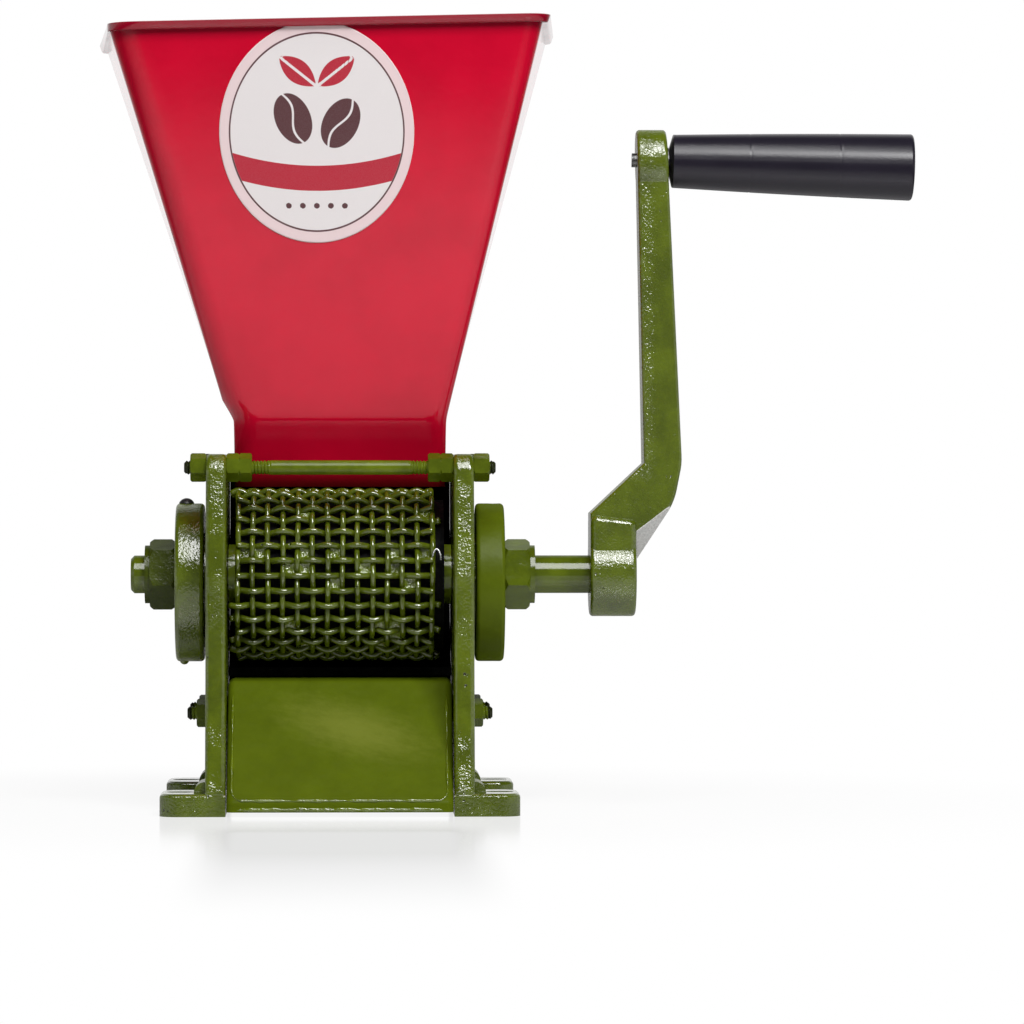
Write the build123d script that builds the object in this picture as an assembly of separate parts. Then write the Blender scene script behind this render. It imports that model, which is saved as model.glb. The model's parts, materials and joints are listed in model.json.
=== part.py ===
from build123d import *
import os
from math import cos, floor, pi, radians, sin, sqrt

# A hand-cranked coffee huller. Two cast side plates, spaced by threaded rods, carry a sheet hopper,
# a drum wrapped in crimped wire cloth, a curved breaker plate behind and under it, and a chute.
# The drum's shaft runs in two eccentric flanges: turning them moves the drum towards the breaker.
# Millimetres, +Z up. X runs along the shaft towards the crank and the front of the machine faces -Y.
# The origin is on the bench, in the middle of the four foot slots.

os.makedirs("parts", exist_ok=True)

# Fits and clearances
running_clearance = 0.05  # radial, where one piece turns in another
seat_clearance = 0.02  # radial, where one piece is fixed in another
hole_clearance = 0.25  # radial, round rods and bolts in their holes
end_play = 0.3  # along X, between a turning piece and what stands beside it
cut_over = 1.0  # how far a cut runs past the face that it opens
hexagon_corner_share = 0.8  # how much of the corners of a hexagon's end faces is turned off

# Side plates
plate_gap = 100.4
plate_thickness = 9.0
plate_above_drum = 15.0
plate_edge_radius = 2.0
plate_top_corner = 9.0
bolt_edge_margin = 7.0  # from the breaker bolts to the edge of the plate at shaft height
plate_waist_sag = 3.5
base_length = 140.0
foot_length = 37.0
foot_reach = 20.0
foot_thickness = 10.0
foot_corner_radius = 8.0
foot_fillet = 5.0
arch_height = 12.0
arch_corner_radius = 6.0
slot_width = 8.5
slot_length = 12.5
slot_offset = 11.0  # middle of a slot outside the plate's outer face
pad_width = 5.0
pad_height = 1.2
recess_depth = 2.5
recess_border = 11.0
recess_land = 4.0  # full thickness left round each hole
recess_foot_land = 14.0  # full thickness left above the foot

# Tie rods and their nuts
rod_diameter = 6.35
rod_chamfer = 0.8
rod_nut_flats = 11.1
rod_nut_turn = 22.0
top_rod_drop = 6.0  # below the top of the plates
top_front_rod_gap = 21.8  # in front of the hopper's neck
top_rear_rod_gap = 8.0  # behind the breaker plate
top_nut_thickness = 7.0
top_jam_nut_thickness = 5.6
top_rod_overhang = 2.8
lower_rear_rod_inset = 20.0  # from the back of the base
lower_nut_thickness = 5.2
lower_rod_overhang = 4.2

# Shaft and eccentric bearings
shaft_height = 105.0
shaft_diameter = 17.0
shaft_chamfer = 1.5
shaft_left_overhang = 6.3  # beyond the left hexagon collar
eccentricity = 3.6  # the shaft runs this far above the middle of the flanges
spigot_radius = 20.0
flange_radius = 35.5
flange_thickness = 12.8
flange_edge_radius = 1.8
bush_wall = 3.0
oil_hole_diameter = 5.0
oil_hole_inset = 4.6  # from the flange's outer face
oil_plug_dome_radius = 3.5
oil_plug_dome_height = 2.4
oil_plug_stem_length = 8.0

# Hexagon collars on the shaft
collar_flats = 28.0
collar_length = 11.5
collar_turn = 17.0
collar_screw_turn = 180.0  # from a corner of the collar to the flat that holds its set screw
collar_step_radius = 13.0
collar_step_length = 2.2
collar_screw_diameter = 5.0
collar_screw_recess = 0.5

# Drum
drum_core_radius = 33.4
drum_core_wall = 4.0
drum_disc_thickness = 6.0
drum_hub_radius = 14.0
drum_hub_length = 14.0
drum_pin_diameter = 5.0
thrust_collar_radius = 13.4
thrust_collar_length = 3.6
wire_diameter = 2.8
wire_pitch = 6.65
wire_overhang = 1.1  # of the bars beyond the core
cloth_shift = -2.2  # the cloth sits a little to the left on the core

# Breaker plate
breaker_gap = 3.0
breaker_side_gap = 0.15
breaker_thickness = 3.6
breaker_end_angle = 95.0  # how far it wraps from the back of the drum to under it
breaker_boss_radius = 6.5
breaker_boss_length = 18.0
breaker_boss_sink = 1.5
breaker_skirt_gap = 2.0  # behind the chute's top edge
breaker_skirt_thickness = 4.0
breaker_skirt_drop = 7.0  # below the chute's top edge
breaker_upper_rise = 13.0  # upper bolts above the shaft
breaker_lower_angle = 35.0  # lower bolts below the shaft, round the breaker
breaker_bolt_diameter = 6.0
breaker_bolt_depth = 14.0
breaker_head_flats = 10.0
breaker_head_thickness = 4.0

# Chute
chute_thickness = 2.0
chute_side_gap = 0.4
chute_top_y = 8.0
chute_breaker_gap = 0.3
chute_shelf_drop = 1.0  # of the shelf under the drum, from its back to the bend
chute_bend_y = -26.0
chute_lip_y = -73.0
chute_lip_height = 6.6
chute_lip_bottom = 2.1
chute_flange_depth = 15.5
chute_back_drop = 22.0  # depth of the sides at the back of the shelf
chute_rod_drop = 16.5  # the rod's middle below the back of the shelf
chute_rod_inset = 6.0  # in front of the back of the shelf
chute_bend_radius = 3.0

# Hopper
sheet_thickness = 1.2
neck_side_gap = 2.7
neck_front_y = -16.2
throat_front_y = 2.0  # at the bottom of the neck, whose front slopes back
neck_height = 30.0
neck_drum_gap = 0.4  # bottom of the neck above the top of the drum
breaker_neck_gap = 1.0
breaker_neck_overlap = 14.0  # the breaker reaches up behind the neck
funnel_height = 174.6
rim_front_y = -60.0
rim_back_y = 86.0
rim_front_half_width = 94.6
rim_back_half_width = 100.5
rim_shift = -4.6  # the funnel leans a little to the left
rim_lean = 1.3
hem_width = 2.6
hem_height = 3.6
hopper_bolt_diameter = 5.0
hopper_bolt_spacing = 24.0
hopper_bolt_overhang = 2.0
hopper_head_radius = 5.0
hopper_head_height = 2.6
hopper_spacer_radius = 5.5
hopper_nut_flats = 8.0
hopper_nut_thickness = 4.0

# Crank
shaft_reach = 24.7  # bare shaft between the right collar and the hub
hub_length = 20.6
hub_radius = 18.9
hub_block_width = 31.0  # the hub is raised into a block, up to here above the shaft
hub_left_rise = 27.0
hub_right_rise = 24.5
hub_block_radius = 3.0
crank_radius = 186.0
arm_root_thickness = 22.0
arm_bend_thickness = 17.2
arm_top_thickness = 13.4
arm_bend_offset = 24.0  # from the hub's inner face
arm_bend_rise = 50.0
arm_heel_inset = 3.4  # the lower outer corner of the bend, in from the upper one
arm_bend_radius = 30.0
arm_facet_rise = 14.0  # how far the root's underside is bevelled up at its front and back
arm_top_offset = 20.9
arm_root_width = 27.0
arm_top_width = 20.0
arm_boss_radius = 14.0
arm_edge_radius = 1.6
crank_screw_diameter = 8.0
crank_screw_recess = 1.0

# Grip
grip_droop = 1.4
grip_length = 110.0
grip_inner_radius = 11.9
grip_outer_radius = 15.0
grip_neck_radius = 6.0
grip_cone_length = 1.8
grip_end_radius = 1.5
grip_play = 0.3
spindle_diameter = 8.0
spindle_thread_diameter = 6.35
spindle_tip = 1.8
spindle_head_radius = 6.5
spindle_head_thickness = 5.0
head_clearance = 1.5
head_recess = 4.0
washer_radius = 6.2
washer_thickness = 1.2
spot_face_margin = 0.8

# Worked out from the sizes above
plate_in = plate_gap / 2
plate_out = plate_in + plate_thickness
foot_end = plate_out + foot_reach
half_base = base_length / 2
rod_radius = rod_diameter / 2
shaft_radius = shaft_diameter / 2
pad_radius = spigot_radius + pad_width
flange_height = shaft_height - eccentricity
flange_start = plate_out + pad_height + end_play
flange_end = flange_start + flange_thickness
bush_radius = shaft_radius + running_clearance + bush_wall
collar_start = flange_end + end_play
collar_end = collar_start + collar_length
collar_step_end = collar_end + collar_step_length
shaft_left_end = -(collar_step_end + shaft_left_overhang)
hub_start = collar_step_end + shaft_reach
hub_end = hub_start + hub_length
core_end = plate_in - end_play - thrust_collar_length
drum_radius = drum_core_radius + 2 * wire_diameter
breaker_inner_radius = drum_radius + breaker_gap
breaker_outer_radius = breaker_inner_radius + breaker_thickness
breaker_end = plate_in - breaker_side_gap
neck_half_width = plate_in - neck_side_gap
neck_back_y = breaker_inner_radius - breaker_neck_gap
neck_bottom = shaft_height + drum_radius + neck_drum_gap
neck_top = neck_bottom + neck_height
hopper_height = neck_top + funnel_height
plate_height = shaft_height + drum_radius + plate_above_drum
top_rod_height = plate_height - top_rod_drop
hopper_bolt_height = top_rod_height
bolt_share = (neck_top - hopper_bolt_height) / neck_height
bolt_front_y = neck_front_y + (throat_front_y - neck_front_y) * bolt_share
bolts_middle_y = (bolt_front_y + neck_back_y) / 2
hopper_bolt_ys = [bolts_middle_y - hopper_bolt_spacing / 2, bolts_middle_y + hopper_bolt_spacing / 2]
breaker_boss_offset = breaker_outer_radius + breaker_boss_radius - breaker_boss_sink
breaker_bolts_at = [
    (breaker_boss_offset, shaft_height + breaker_upper_rise),
    (
        breaker_boss_offset * cos(radians(breaker_lower_angle)),
        shaft_height - breaker_boss_offset * sin(radians(breaker_lower_angle)),
    ),
]
top_front_rod_y = neck_front_y - top_front_rod_gap
top_rear_rod_y = breaker_outer_radius + top_rear_rod_gap
top_rods_at = [(top_front_rod_y, top_rod_height), (top_rear_rod_y, top_rod_height)]
chute_top_height = shaft_height - breaker_outer_radius - chute_breaker_gap
chute_bend_height = chute_top_height - chute_shelf_drop
chute_shelf_slope = chute_shelf_drop / (chute_top_y - chute_bend_y)
chute_face_slope = (chute_bend_height - chute_lip_height) / (chute_bend_y - chute_lip_y)
chute_shelf_stretch = sqrt(1 + chute_shelf_slope**2)  # upright depth for a depth of 1 square to the shelf
chute_face_stretch = sqrt(1 + chute_face_slope**2)  # and square to the face
chute_rod_y = chute_top_y - chute_rod_inset
lower_rod_height = chute_top_height - chute_rod_drop
lower_rear_rod_y = half_base - lower_rear_rod_inset
lower_rods_at = [(chute_rod_y, lower_rod_height), (lower_rear_rod_y, lower_rod_height)]
spindle_height = shaft_height + crank_radius
arm_bend_left = hub_start + arm_bend_offset
arm_top_left = hub_start + arm_top_offset
counterbore_radius = spindle_head_radius + head_clearance
counterbore_depth = spindle_head_thickness + head_recess


def bar(radius, start, end, y=0, z=0):
    """Round bar along X from start to end."""
    return Pos((start + end) / 2, y, z) * Rot(0, 90, 0) * Cylinder(radius, end - start)


def tube(outer, inner, start, end, y=0, z=0):
    """Round tube along X from start to end."""
    return bar(outer, start, end, y, z) - bar(inner, start - cut_over, end + cut_over, y, z)


def hexagon(flats, start, end, y=0, z=0, turn=0):
    """Hexagon bar along X whose corners are turned off at both ends."""
    corner = flats / sqrt(3)
    prism = extrude(Plane.YZ * RegularPolygon(corner, 6, rotation=turn), amount=end - start)
    round_bar = bar(corner, 0, end - start)
    turned_off = (corner - flats / 2) * hexagon_corner_share
    turned = chamfer(round_bar.edges().filter_by(GeomType.CIRCLE), turned_off)
    return Pos(start, y, z) * (prism & turned)


def nut(flats, bore_diameter, start, end, y, z, turn=0):
    """Hexagon nut along X on a rod or bolt."""
    bore = bar(bore_diameter / 2 + seat_clearance, start - cut_over, end + cut_over, y, z)
    return hexagon(flats, start, end, y, z, turn) - bore


def dome(radius, height):
    """Button of a ball, upwards from its flat round base."""
    ball_radius = (radius**2 + height**2) / (2 * height)
    half = make_face([
        Line((0, 0), (radius, 0)),
        RadiusArc((radius, 0), (0, height), -ball_radius),
        Line((0, height), (0, 0)),
    ])
    return revolve(Plane.XZ * half, axis=Axis.Z)


def both_sides(pieces):
    """The pieces given for the right side, and their mirror images on the left."""
    return pieces + [mirror(piece, about=Plane.YZ) for piece in pieces]


def slab(face, start, end):
    """A face drawn in Y and Z, made solid along X from start to end."""
    return Pos(start, 0, 0) * extrude(Plane.YZ * face, amount=end - start)


def save(name, *pieces):
    """Writes one node, as one solid or as a group of separate solids."""
    shape = pieces[0] if len(pieces) == 1 else Compound(children=list(pieces))
    export_step(shape, f"parts/{name}.step")


# Side plates

def plate_outline():
    """The plate seen along X: feet and arch below, waisted edges, rounded top corners."""
    shoulder = breaker_boss_offset + bolt_edge_margin
    top_front = top_front_rod_y - recess_border
    top_rear = top_rear_rod_y + recess_border
    waist = (foot_thickness + shaft_height) / 2
    edge_middle = (half_base + shoulder) / 2 - plate_waist_sag
    corner = plate_top_corner
    lines = [
        Line((-half_base, 0), (-half_base, foot_thickness)),
        ThreePointArc((-half_base, foot_thickness), (-edge_middle, waist), (-shoulder, shaft_height)),
        Line((-shoulder, shaft_height), (top_front, plate_height - corner)),
        RadiusArc((top_front, plate_height - corner), (top_front + corner, plate_height), corner),
        Line((top_front + corner, plate_height), (top_rear - corner, plate_height)),
        RadiusArc((top_rear - corner, plate_height), (top_rear, plate_height - corner), corner),
        Line((top_rear, plate_height - corner), (shoulder, shaft_height)),
        ThreePointArc((shoulder, shaft_height), (edge_middle, waist), (half_base, foot_thickness)),
        Line((half_base, foot_thickness), (half_base, 0)),
        Line((half_base, 0), (-half_base, 0)),
    ]
    return make_face(lines)


def plate_holes():
    """Every through hole of a plate, as (y, z, radius)."""
    holes = [(y, z, rod_radius + hole_clearance) for y, z in top_rods_at + lower_rods_at]
    holes += [(y, z, breaker_bolt_diameter / 2 + hole_clearance) for y, z in breaker_bolts_at]
    bolt_hole = hopper_bolt_diameter / 2 + hole_clearance
    holes += [(y, hopper_bolt_height, bolt_hole) for y in hopper_bolt_ys]
    return holes


def right_plate():
    """The right plate: cast body, foot lugs, bearing pad, outer recess and holes."""
    arch_width = base_length - 2 * foot_length
    arch = Pos(0, 0) * Rectangle(arch_width, 2 * arch_height)
    arch = fillet(arch.vertices(), arch_corner_radius)
    outline = plate_outline()
    body = slab(outline - arch, plate_in, plate_out)
    body = fillet(body.edges().filter_by(Axis.X, reverse=True), plate_edge_radius)
    recess = offset(outline, amount=-recess_border)
    recess -= Rectangle(2 * base_length, 2 * (foot_thickness + recess_foot_land))
    recess -= Pos(0, flange_height) * Circle(pad_radius)
    for y, z, radius in plate_holes():
        recess -= Pos(y, z) * Circle(radius + recess_land)
    body -= slab(recess, plate_out - recess_depth, plate_out + cut_over)
    for side in (-1, 1):
        lug_y = side * (half_base - foot_length / 2)
        lug = Pos((plate_in + foot_end) / 2, lug_y, foot_thickness / 2) * Box(
            foot_end - plate_in, foot_length, foot_thickness
        )
        lug = fillet(lug.edges().filter_by(Axis.Z).group_by(Axis.X)[-1], foot_corner_radius)
        top_rim = lug.edges().group_by(Axis.Z)[-1]
        lug = fillet(top_rim.filter_by(lambda edge: edge.center().X > plate_out), plate_edge_radius)
        body += lug
        fillet_face = make_face(
            [
                Line((plate_out, foot_thickness), (plate_out + foot_fillet, foot_thickness)),
                RadiusArc(
                    (plate_out + foot_fillet, foot_thickness),
                    (plate_out, foot_thickness + foot_fillet),
                    -foot_fillet,
                ),
                Line((plate_out, foot_thickness + foot_fillet), (plate_out, foot_thickness)),
            ]
        )
        web_length = foot_length - 2 * plate_edge_radius - foot_fillet
        web_y = side * (half_base - plate_edge_radius - foot_fillet - web_length / 2)
        body += Pos(0, web_y, 0) * extrude(Plane.XZ * fillet_face, amount=web_length / 2, both=True)
        slot = extrude(SlotOverall(slot_length, slot_width), amount=foot_thickness + 2 * cut_over)
        body -= Pos(plate_out + slot_offset, lug_y, -cut_over) * slot
    body += bar(pad_radius, plate_out - recess_depth, plate_out + pad_height, 0, flange_height)
    body -= bar(spigot_radius + running_clearance, plate_in - cut_over, flange_start, 0, flange_height)
    for y, z, radius in plate_holes():
        body -= bar(radius, plate_in - cut_over, plate_out + cut_over, y, z)
    return body


right_side_plate = right_plate()
save("right_side_plate", right_side_plate)
save("left_side_plate", mirror(right_side_plate, about=Plane.YZ))


# Tie rods and nuts

def tie_rod(y, z, half_length):
    """Rod through both plates with chamfered ends."""
    rod = bar(rod_radius, -half_length, half_length, y, z)
    return chamfer(rod.edges().filter_by(GeomType.CIRCLE), rod_chamfer)


top_rod_half = plate_out + top_nut_thickness + top_rod_overhang
lower_rod_half = plate_out + lower_nut_thickness + lower_rod_overhang
save("top_front_tie_rod", tie_rod(*top_rods_at[0], top_rod_half))
save("top_rear_tie_rod", tie_rod(*top_rods_at[1], top_rod_half))
save("chute_rod", tie_rod(*lower_rods_at[0], lower_rod_half))
save("lower_rear_tie_rod", tie_rod(*lower_rods_at[1], lower_rod_half))


def rod_nut(start, thickness, y, z):
    """Nut on a tie rod, from start outwards."""
    return nut(rod_nut_flats, rod_diameter, start, start + thickness, y, z, rod_nut_turn)


outer_nuts = [rod_nut(plate_out, top_nut_thickness, y, z) for y, z in top_rods_at]
save("top_rod_nuts", *both_sides(outer_nuts))

jam_nuts = []
for y, z in top_rods_at:
    for step in (1, 2):
        jam_nuts.append(rod_nut(plate_in - step * top_jam_nut_thickness, top_jam_nut_thickness, y, z))
save("top_rod_jam_nuts", *both_sides(jam_nuts))

outer_nuts = [rod_nut(plate_out, lower_nut_thickness, y, z) for y, z in lower_rods_at]
save("lower_rod_nuts", *both_sides(outer_nuts))

chute_flange_in = plate_in - chute_side_gap - chute_thickness
chute_jam_nut = rod_nut(chute_flange_in - lower_nut_thickness, lower_nut_thickness, *lower_rods_at[0])
rear_jam_nut = rod_nut(plate_in - lower_nut_thickness, lower_nut_thickness, *lower_rods_at[1])
save("lower_rod_jam_nuts", *both_sides([chute_jam_nut, rear_jam_nut]))


# Eccentric bearing flanges, bushes and oil plug

oil_hole_x = flange_end - oil_hole_inset
oil_hole_bottom = shaft_height + bush_radius
flange_top = flange_height + flange_radius


def right_flange():
    """Round flange with a spigot in the plate's bore; the bush sits off centre in both."""
    disc = bar(flange_radius, flange_start, flange_end, 0, flange_height)
    disc = fillet(disc.edges().filter_by(GeomType.CIRCLE), flange_edge_radius)
    disc += bar(spigot_radius, plate_in, flange_start + flange_edge_radius, 0, flange_height)
    bush_seat = bush_radius + seat_clearance
    disc -= bar(bush_seat, plate_in - cut_over, flange_end + cut_over, 0, shaft_height)
    hole_length = flange_top - oil_hole_bottom + 2 * cut_over
    hole = Cylinder(oil_hole_diameter / 2, hole_length, align=(Align.CENTER, Align.CENTER, Align.MIN))
    return disc - Pos(oil_hole_x, 0, oil_hole_bottom - cut_over) * hole


right_bearing_flange = right_flange()
save("right_bearing_flange", right_bearing_flange)
save("left_bearing_flange", mirror(right_bearing_flange, about=Plane.YZ))

right_bush = tube(bush_radius, shaft_radius + running_clearance, plate_in, flange_end, 0, shaft_height)
save("right_bearing_bush", right_bush)
save("left_bearing_bush", mirror(right_bush, about=Plane.YZ))

plug_dome = dome(oil_plug_dome_radius, oil_plug_dome_height)
stem = Cylinder(
    oil_hole_diameter / 2 - seat_clearance,
    oil_plug_stem_length,
    align=(Align.CENTER, Align.CENTER, Align.MAX),
)
save("left_oil_plug", Pos(-oil_hole_x, 0, flange_top) * (plug_dome + stem))


# Drum: shaft, core, end discs, pins, thrust collars and wire cloth

shaft_seat = shaft_radius + seat_clearance
disc_in = core_end - drum_disc_thickness
pin_x = disc_in - drum_hub_length / 2


def cross_pin(x, clearance=0.0):
    """Pin across the hub and shaft, along Z."""
    length = 2 * drum_hub_radius
    return Pos(x, 0, shaft_height) * Cylinder(drum_pin_diameter / 2 + clearance, length)


shaft = bar(shaft_radius, shaft_left_end, hub_end, 0, shaft_height)
shaft = chamfer(shaft.edges().filter_by(GeomType.CIRCLE), shaft_chamfer)
for x in (-pin_x, pin_x):
    shaft -= cross_pin(x, seat_clearance)
save("drum_shaft", shaft)

core_bore = drum_core_radius - drum_core_wall
save("drum_core", tube(drum_core_radius, core_bore, -core_end, core_end, 0, shaft_height))

end_disc = bar(core_bore - seat_clearance, disc_in, core_end, 0, shaft_height)
drum_hub_in = disc_in - drum_hub_length
end_disc += bar(drum_hub_radius, drum_hub_in, core_end, 0, shaft_height)
end_disc -= bar(shaft_seat, drum_hub_in - cut_over, core_end + cut_over, 0, shaft_height)
end_disc -= cross_pin(pin_x, seat_clearance)
save("drum_end_discs", *both_sides([end_disc]))
save("drum_pins", cross_pin(-pin_x), cross_pin(pin_x))

thrust_end = core_end + thrust_collar_length
thrust_collar = tube(thrust_collar_radius, shaft_seat, core_end, thrust_end, 0, shaft_height)
save("thrust_collars", *both_sides([thrust_collar]))

bar_circle = drum_core_radius + wire_diameter / 2
bar_count = 2 * round(pi * (drum_core_radius + wire_diameter) / wire_pitch)  # an even number, as in a weave
wire_start = -core_end - wire_overhang + cloth_shift
wire_end = core_end + wire_overhang + cloth_shift
wires = []
for index in range(bar_count):
    angle = 2 * pi * index / bar_count
    wire_y = bar_circle * cos(angle)
    wire_z = shaft_height + bar_circle * sin(angle)
    wires.append(bar(wire_diameter / 2 - seat_clearance, wire_start, wire_end, wire_y, wire_z))
save("wire_cloth_bars", *wires)

hoop_count = floor(2 * core_end / wire_pitch) + 1
hoop_circle = bar_circle + wire_diameter
hoops = []
for index in range(hoop_count):
    x = (index - (hoop_count - 1) / 2) * wire_pitch + cloth_shift
    hoop = Torus(hoop_circle, wire_diameter / 2 - seat_clearance)
    hoops.append(Pos(x, 0, shaft_height) * Rot(0, 90, 0) * hoop)
save("wire_cloth_hoops", *hoops)


# Hexagon collars with their set screws

def collar_screw(clearance=0.0, recess=collar_screw_recess):
    """Set screw square to one flat of the right collar, from the flat down to the shaft."""
    length = collar_flats / 2 - shaft_radius - recess
    screw = Cylinder(
        collar_screw_diameter / 2 + clearance, length, align=(Align.CENTER, Align.CENTER, Align.MIN)
    )
    flat_turn = Rot(collar_turn + collar_screw_turn, 0, 0)
    middle = collar_start + collar_length / 2
    return Pos(middle, 0, shaft_height) * flat_turn * Pos(0, 0, shaft_radius) * screw


right_collar = hexagon(collar_flats, collar_start, collar_end, 0, shaft_height, collar_turn)
right_collar += bar(collar_step_radius, collar_end, collar_step_end, 0, shaft_height)
right_collar -= bar(shaft_seat, collar_start - cut_over, collar_step_end + cut_over, 0, shaft_height)
right_collar -= collar_screw(seat_clearance, -cut_over)
save("right_shaft_collar", right_collar)
save("left_shaft_collar", mirror(right_collar, about=Plane.YZ))
save("collar_set_screws", *both_sides([collar_screw()]))


# Breaker plate and its bolts

def breaker():
    """Straight back, arc under the drum, skirt down behind the chute, and bosses for the bolts."""
    ring = Circle(breaker_outer_radius) - Circle(breaker_inner_radius)
    reach = 2 * breaker_outer_radius
    cut = radians(breaker_end_angle)
    sector = make_face(
        Polyline(
            (0, 0),
            (reach, 0),
            (reach, -reach),
            (reach * cos(cut), -reach * sin(cut)),
            close=True,
        )
    )
    tail_height = neck_bottom + breaker_neck_overlap - shaft_height
    tail = Pos((breaker_inner_radius + breaker_outer_radius) / 2, tail_height / 2) * Rectangle(
        breaker_thickness, tail_height
    )
    skirt_y = chute_top_y + breaker_skirt_gap
    skirt_bottom = chute_top_height - breaker_skirt_drop - shaft_height
    skirt = Pos(skirt_y, skirt_bottom) * Rectangle(
        breaker_skirt_thickness, breaker_outer_radius, align=(Align.MIN, Align.MIN)
    )
    skirt -= Circle((breaker_inner_radius + breaker_outer_radius) / 2)
    section = Pos(0, shaft_height) * ((ring & sector) + tail + skirt)
    body = slab(section, -breaker_end, breaker_end)
    inside = bar(breaker_inner_radius, -breaker_end, breaker_end, 0, shaft_height)
    for y, z in breaker_bolts_at:
        for side in (-1, 1):
            ends = sorted((side * (breaker_end - breaker_boss_length), side * breaker_end))
            body += bar(breaker_boss_radius, *ends, y, z) - inside
            hole_bottom = breaker_end - breaker_bolt_depth
            hole_ends = sorted((side * hole_bottom, side * (breaker_end + cut_over)))
            body -= bar(breaker_bolt_diameter / 2 + seat_clearance, *hole_ends, y, z)
    return body


save("breaker_plate", breaker())

breaker_bolts = []
for y, z in breaker_bolts_at:
    seat = plate_out
    head = hexagon(breaker_head_flats, seat, seat + breaker_head_thickness, y, z)
    shank = bar(breaker_bolt_diameter / 2, breaker_end - breaker_bolt_depth + end_play, seat, y, z)
    breaker_bolts.append(head + shank)
save("breaker_bolts", *both_sides(breaker_bolts))


# Chute

def chute_upper_height(y):
    """Height of the chute's upper side: the shelf behind the bend and the steep face in front of it."""
    if y > chute_bend_y:
        return chute_bend_height + chute_shelf_slope * (y - chute_bend_y)
    return chute_bend_height + chute_face_slope * (y - chute_bend_y)


def chute_solid(half_width):
    """The space that the chute's sheet goes round, down to the lower edges of its sides."""
    face_depth = chute_flange_depth * chute_face_stretch / chute_face_slope
    flange_foot_y = chute_lip_y - (chute_lip_height - chute_lip_bottom) / chute_face_slope + face_depth
    profile = make_face(
        Polyline(
            (chute_top_y, chute_top_height),
            (chute_bend_y, chute_bend_height),
            (chute_lip_y, chute_lip_height),
            (chute_lip_y, chute_lip_bottom),
            (flange_foot_y, chute_lip_bottom),
            (chute_top_y, chute_top_height - chute_back_drop),
            close=True,
        )
    )
    block = slab(profile, -half_width, half_width)

    def is_bend(edge):
        ends_on_top = [abs(end.Z - chute_upper_height(end.Y)) < seat_clearance for end in edge.vertices()]
        return all(ends_on_top) and edge.center().Y < chute_top_y - cut_over

    bends = block.edges().filter_by(is_bend)
    corners = block.edges().filter_by(Axis.Z).group_by(Axis.Y)[0]
    return fillet(list(bends) + list(corners), chute_bend_radius)


def chute_hollow(half_width):
    """What is cut out from below, so that a sheet of even thickness is left."""
    stretch_gain = chute_face_stretch - chute_shelf_stretch
    bend_shift = chute_thickness * stretch_gain / (chute_face_slope - chute_shelf_slope)
    shelf_drop = chute_thickness * chute_shelf_stretch
    front = chute_lip_y + chute_thickness
    front_height = chute_upper_height(front) - chute_thickness * chute_face_stretch
    bend_height = chute_upper_height(chute_bend_y) + chute_shelf_slope * bend_shift - shelf_drop
    back = chute_top_y + cut_over
    bottom = chute_lip_bottom - cut_over
    profile = make_face(
        Polyline(
            (back, chute_upper_height(back) - shelf_drop),
            (chute_bend_y + bend_shift, bend_height),
            (front, front_height),
            (front, bottom),
            (back, bottom),
            close=True,
        )
    )
    return slab(profile, -half_width, half_width)


def chute():
    """Tray with a level shelf under the drum, a steep face and turned-down sides, held by the chute rod."""
    half_width = plate_in - chute_side_gap
    tray = chute_solid(half_width) - chute_hollow(half_width - chute_thickness)
    reach = half_width + cut_over
    return tray - bar(rod_radius + hole_clearance, -reach, reach, *lower_rods_at[0])


save("chute", chute())


# Hopper with its bolts, spacers and nuts

rim_plane = Plane(
    origin=(rim_shift, 0, hopper_height),
    x_dir=(cos(radians(rim_lean)), 0, sin(radians(rim_lean))),
    z_dir=(-sin(radians(rim_lean)), 0, cos(radians(rim_lean))),
)
neck_plane = Plane.XY.offset(neck_top)
throat_plane = Plane.XY.offset(neck_bottom)


def four_sided(plane, front_half, back_half, front_y, back_y, grow=0.0):
    """Four-sided section of the funnel, its sides moved outwards by grow."""
    points = [
        (-front_half - grow, front_y - grow),
        (front_half + grow, front_y - grow),
        (back_half + grow, back_y + grow),
        (-back_half - grow, back_y + grow),
    ]
    return plane * make_face(Polyline(*points, close=True))


def rim_section(grow, plane=rim_plane):
    """The funnel's section at the rim."""
    return four_sided(plane, rim_front_half_width, rim_back_half_width, rim_front_y, rim_back_y, grow)


def neck_section(grow):
    """The funnel's section at the top of the neck."""
    return four_sided(neck_plane, neck_half_width, neck_half_width, neck_front_y, neck_back_y, grow)


def throat_section(grow):
    """The section at the bottom of the neck, shorter from front to back."""
    return four_sided(throat_plane, neck_half_width, neck_half_width, throat_front_y, neck_back_y, grow)


def funnel(grow):
    """The solid bounded by the throat, the neck and the rim."""
    upper = loft([neck_section(grow), rim_section(grow)], ruled=True)
    return upper + loft([throat_section(grow), neck_section(grow)], ruled=True)


def hopper():
    """Funnel and neck of thin sheet, open at both ends, with a hem round the rim."""
    outer = funnel(0)
    inner = funnel(-sheet_thickness)
    hem = extrude(rim_section(hem_width), amount=-hem_height)
    hem -= extrude(rim_section(-sheet_thickness), amount=-hem_height)
    shell = outer - inner + (hem - outer)
    for y in hopper_bolt_ys:
        reach = neck_half_width + cut_over
        shell -= bar(hopper_bolt_diameter / 2 + hole_clearance, -reach, reach, y, hopper_bolt_height)
    return shell


save("hopper", hopper())

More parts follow.
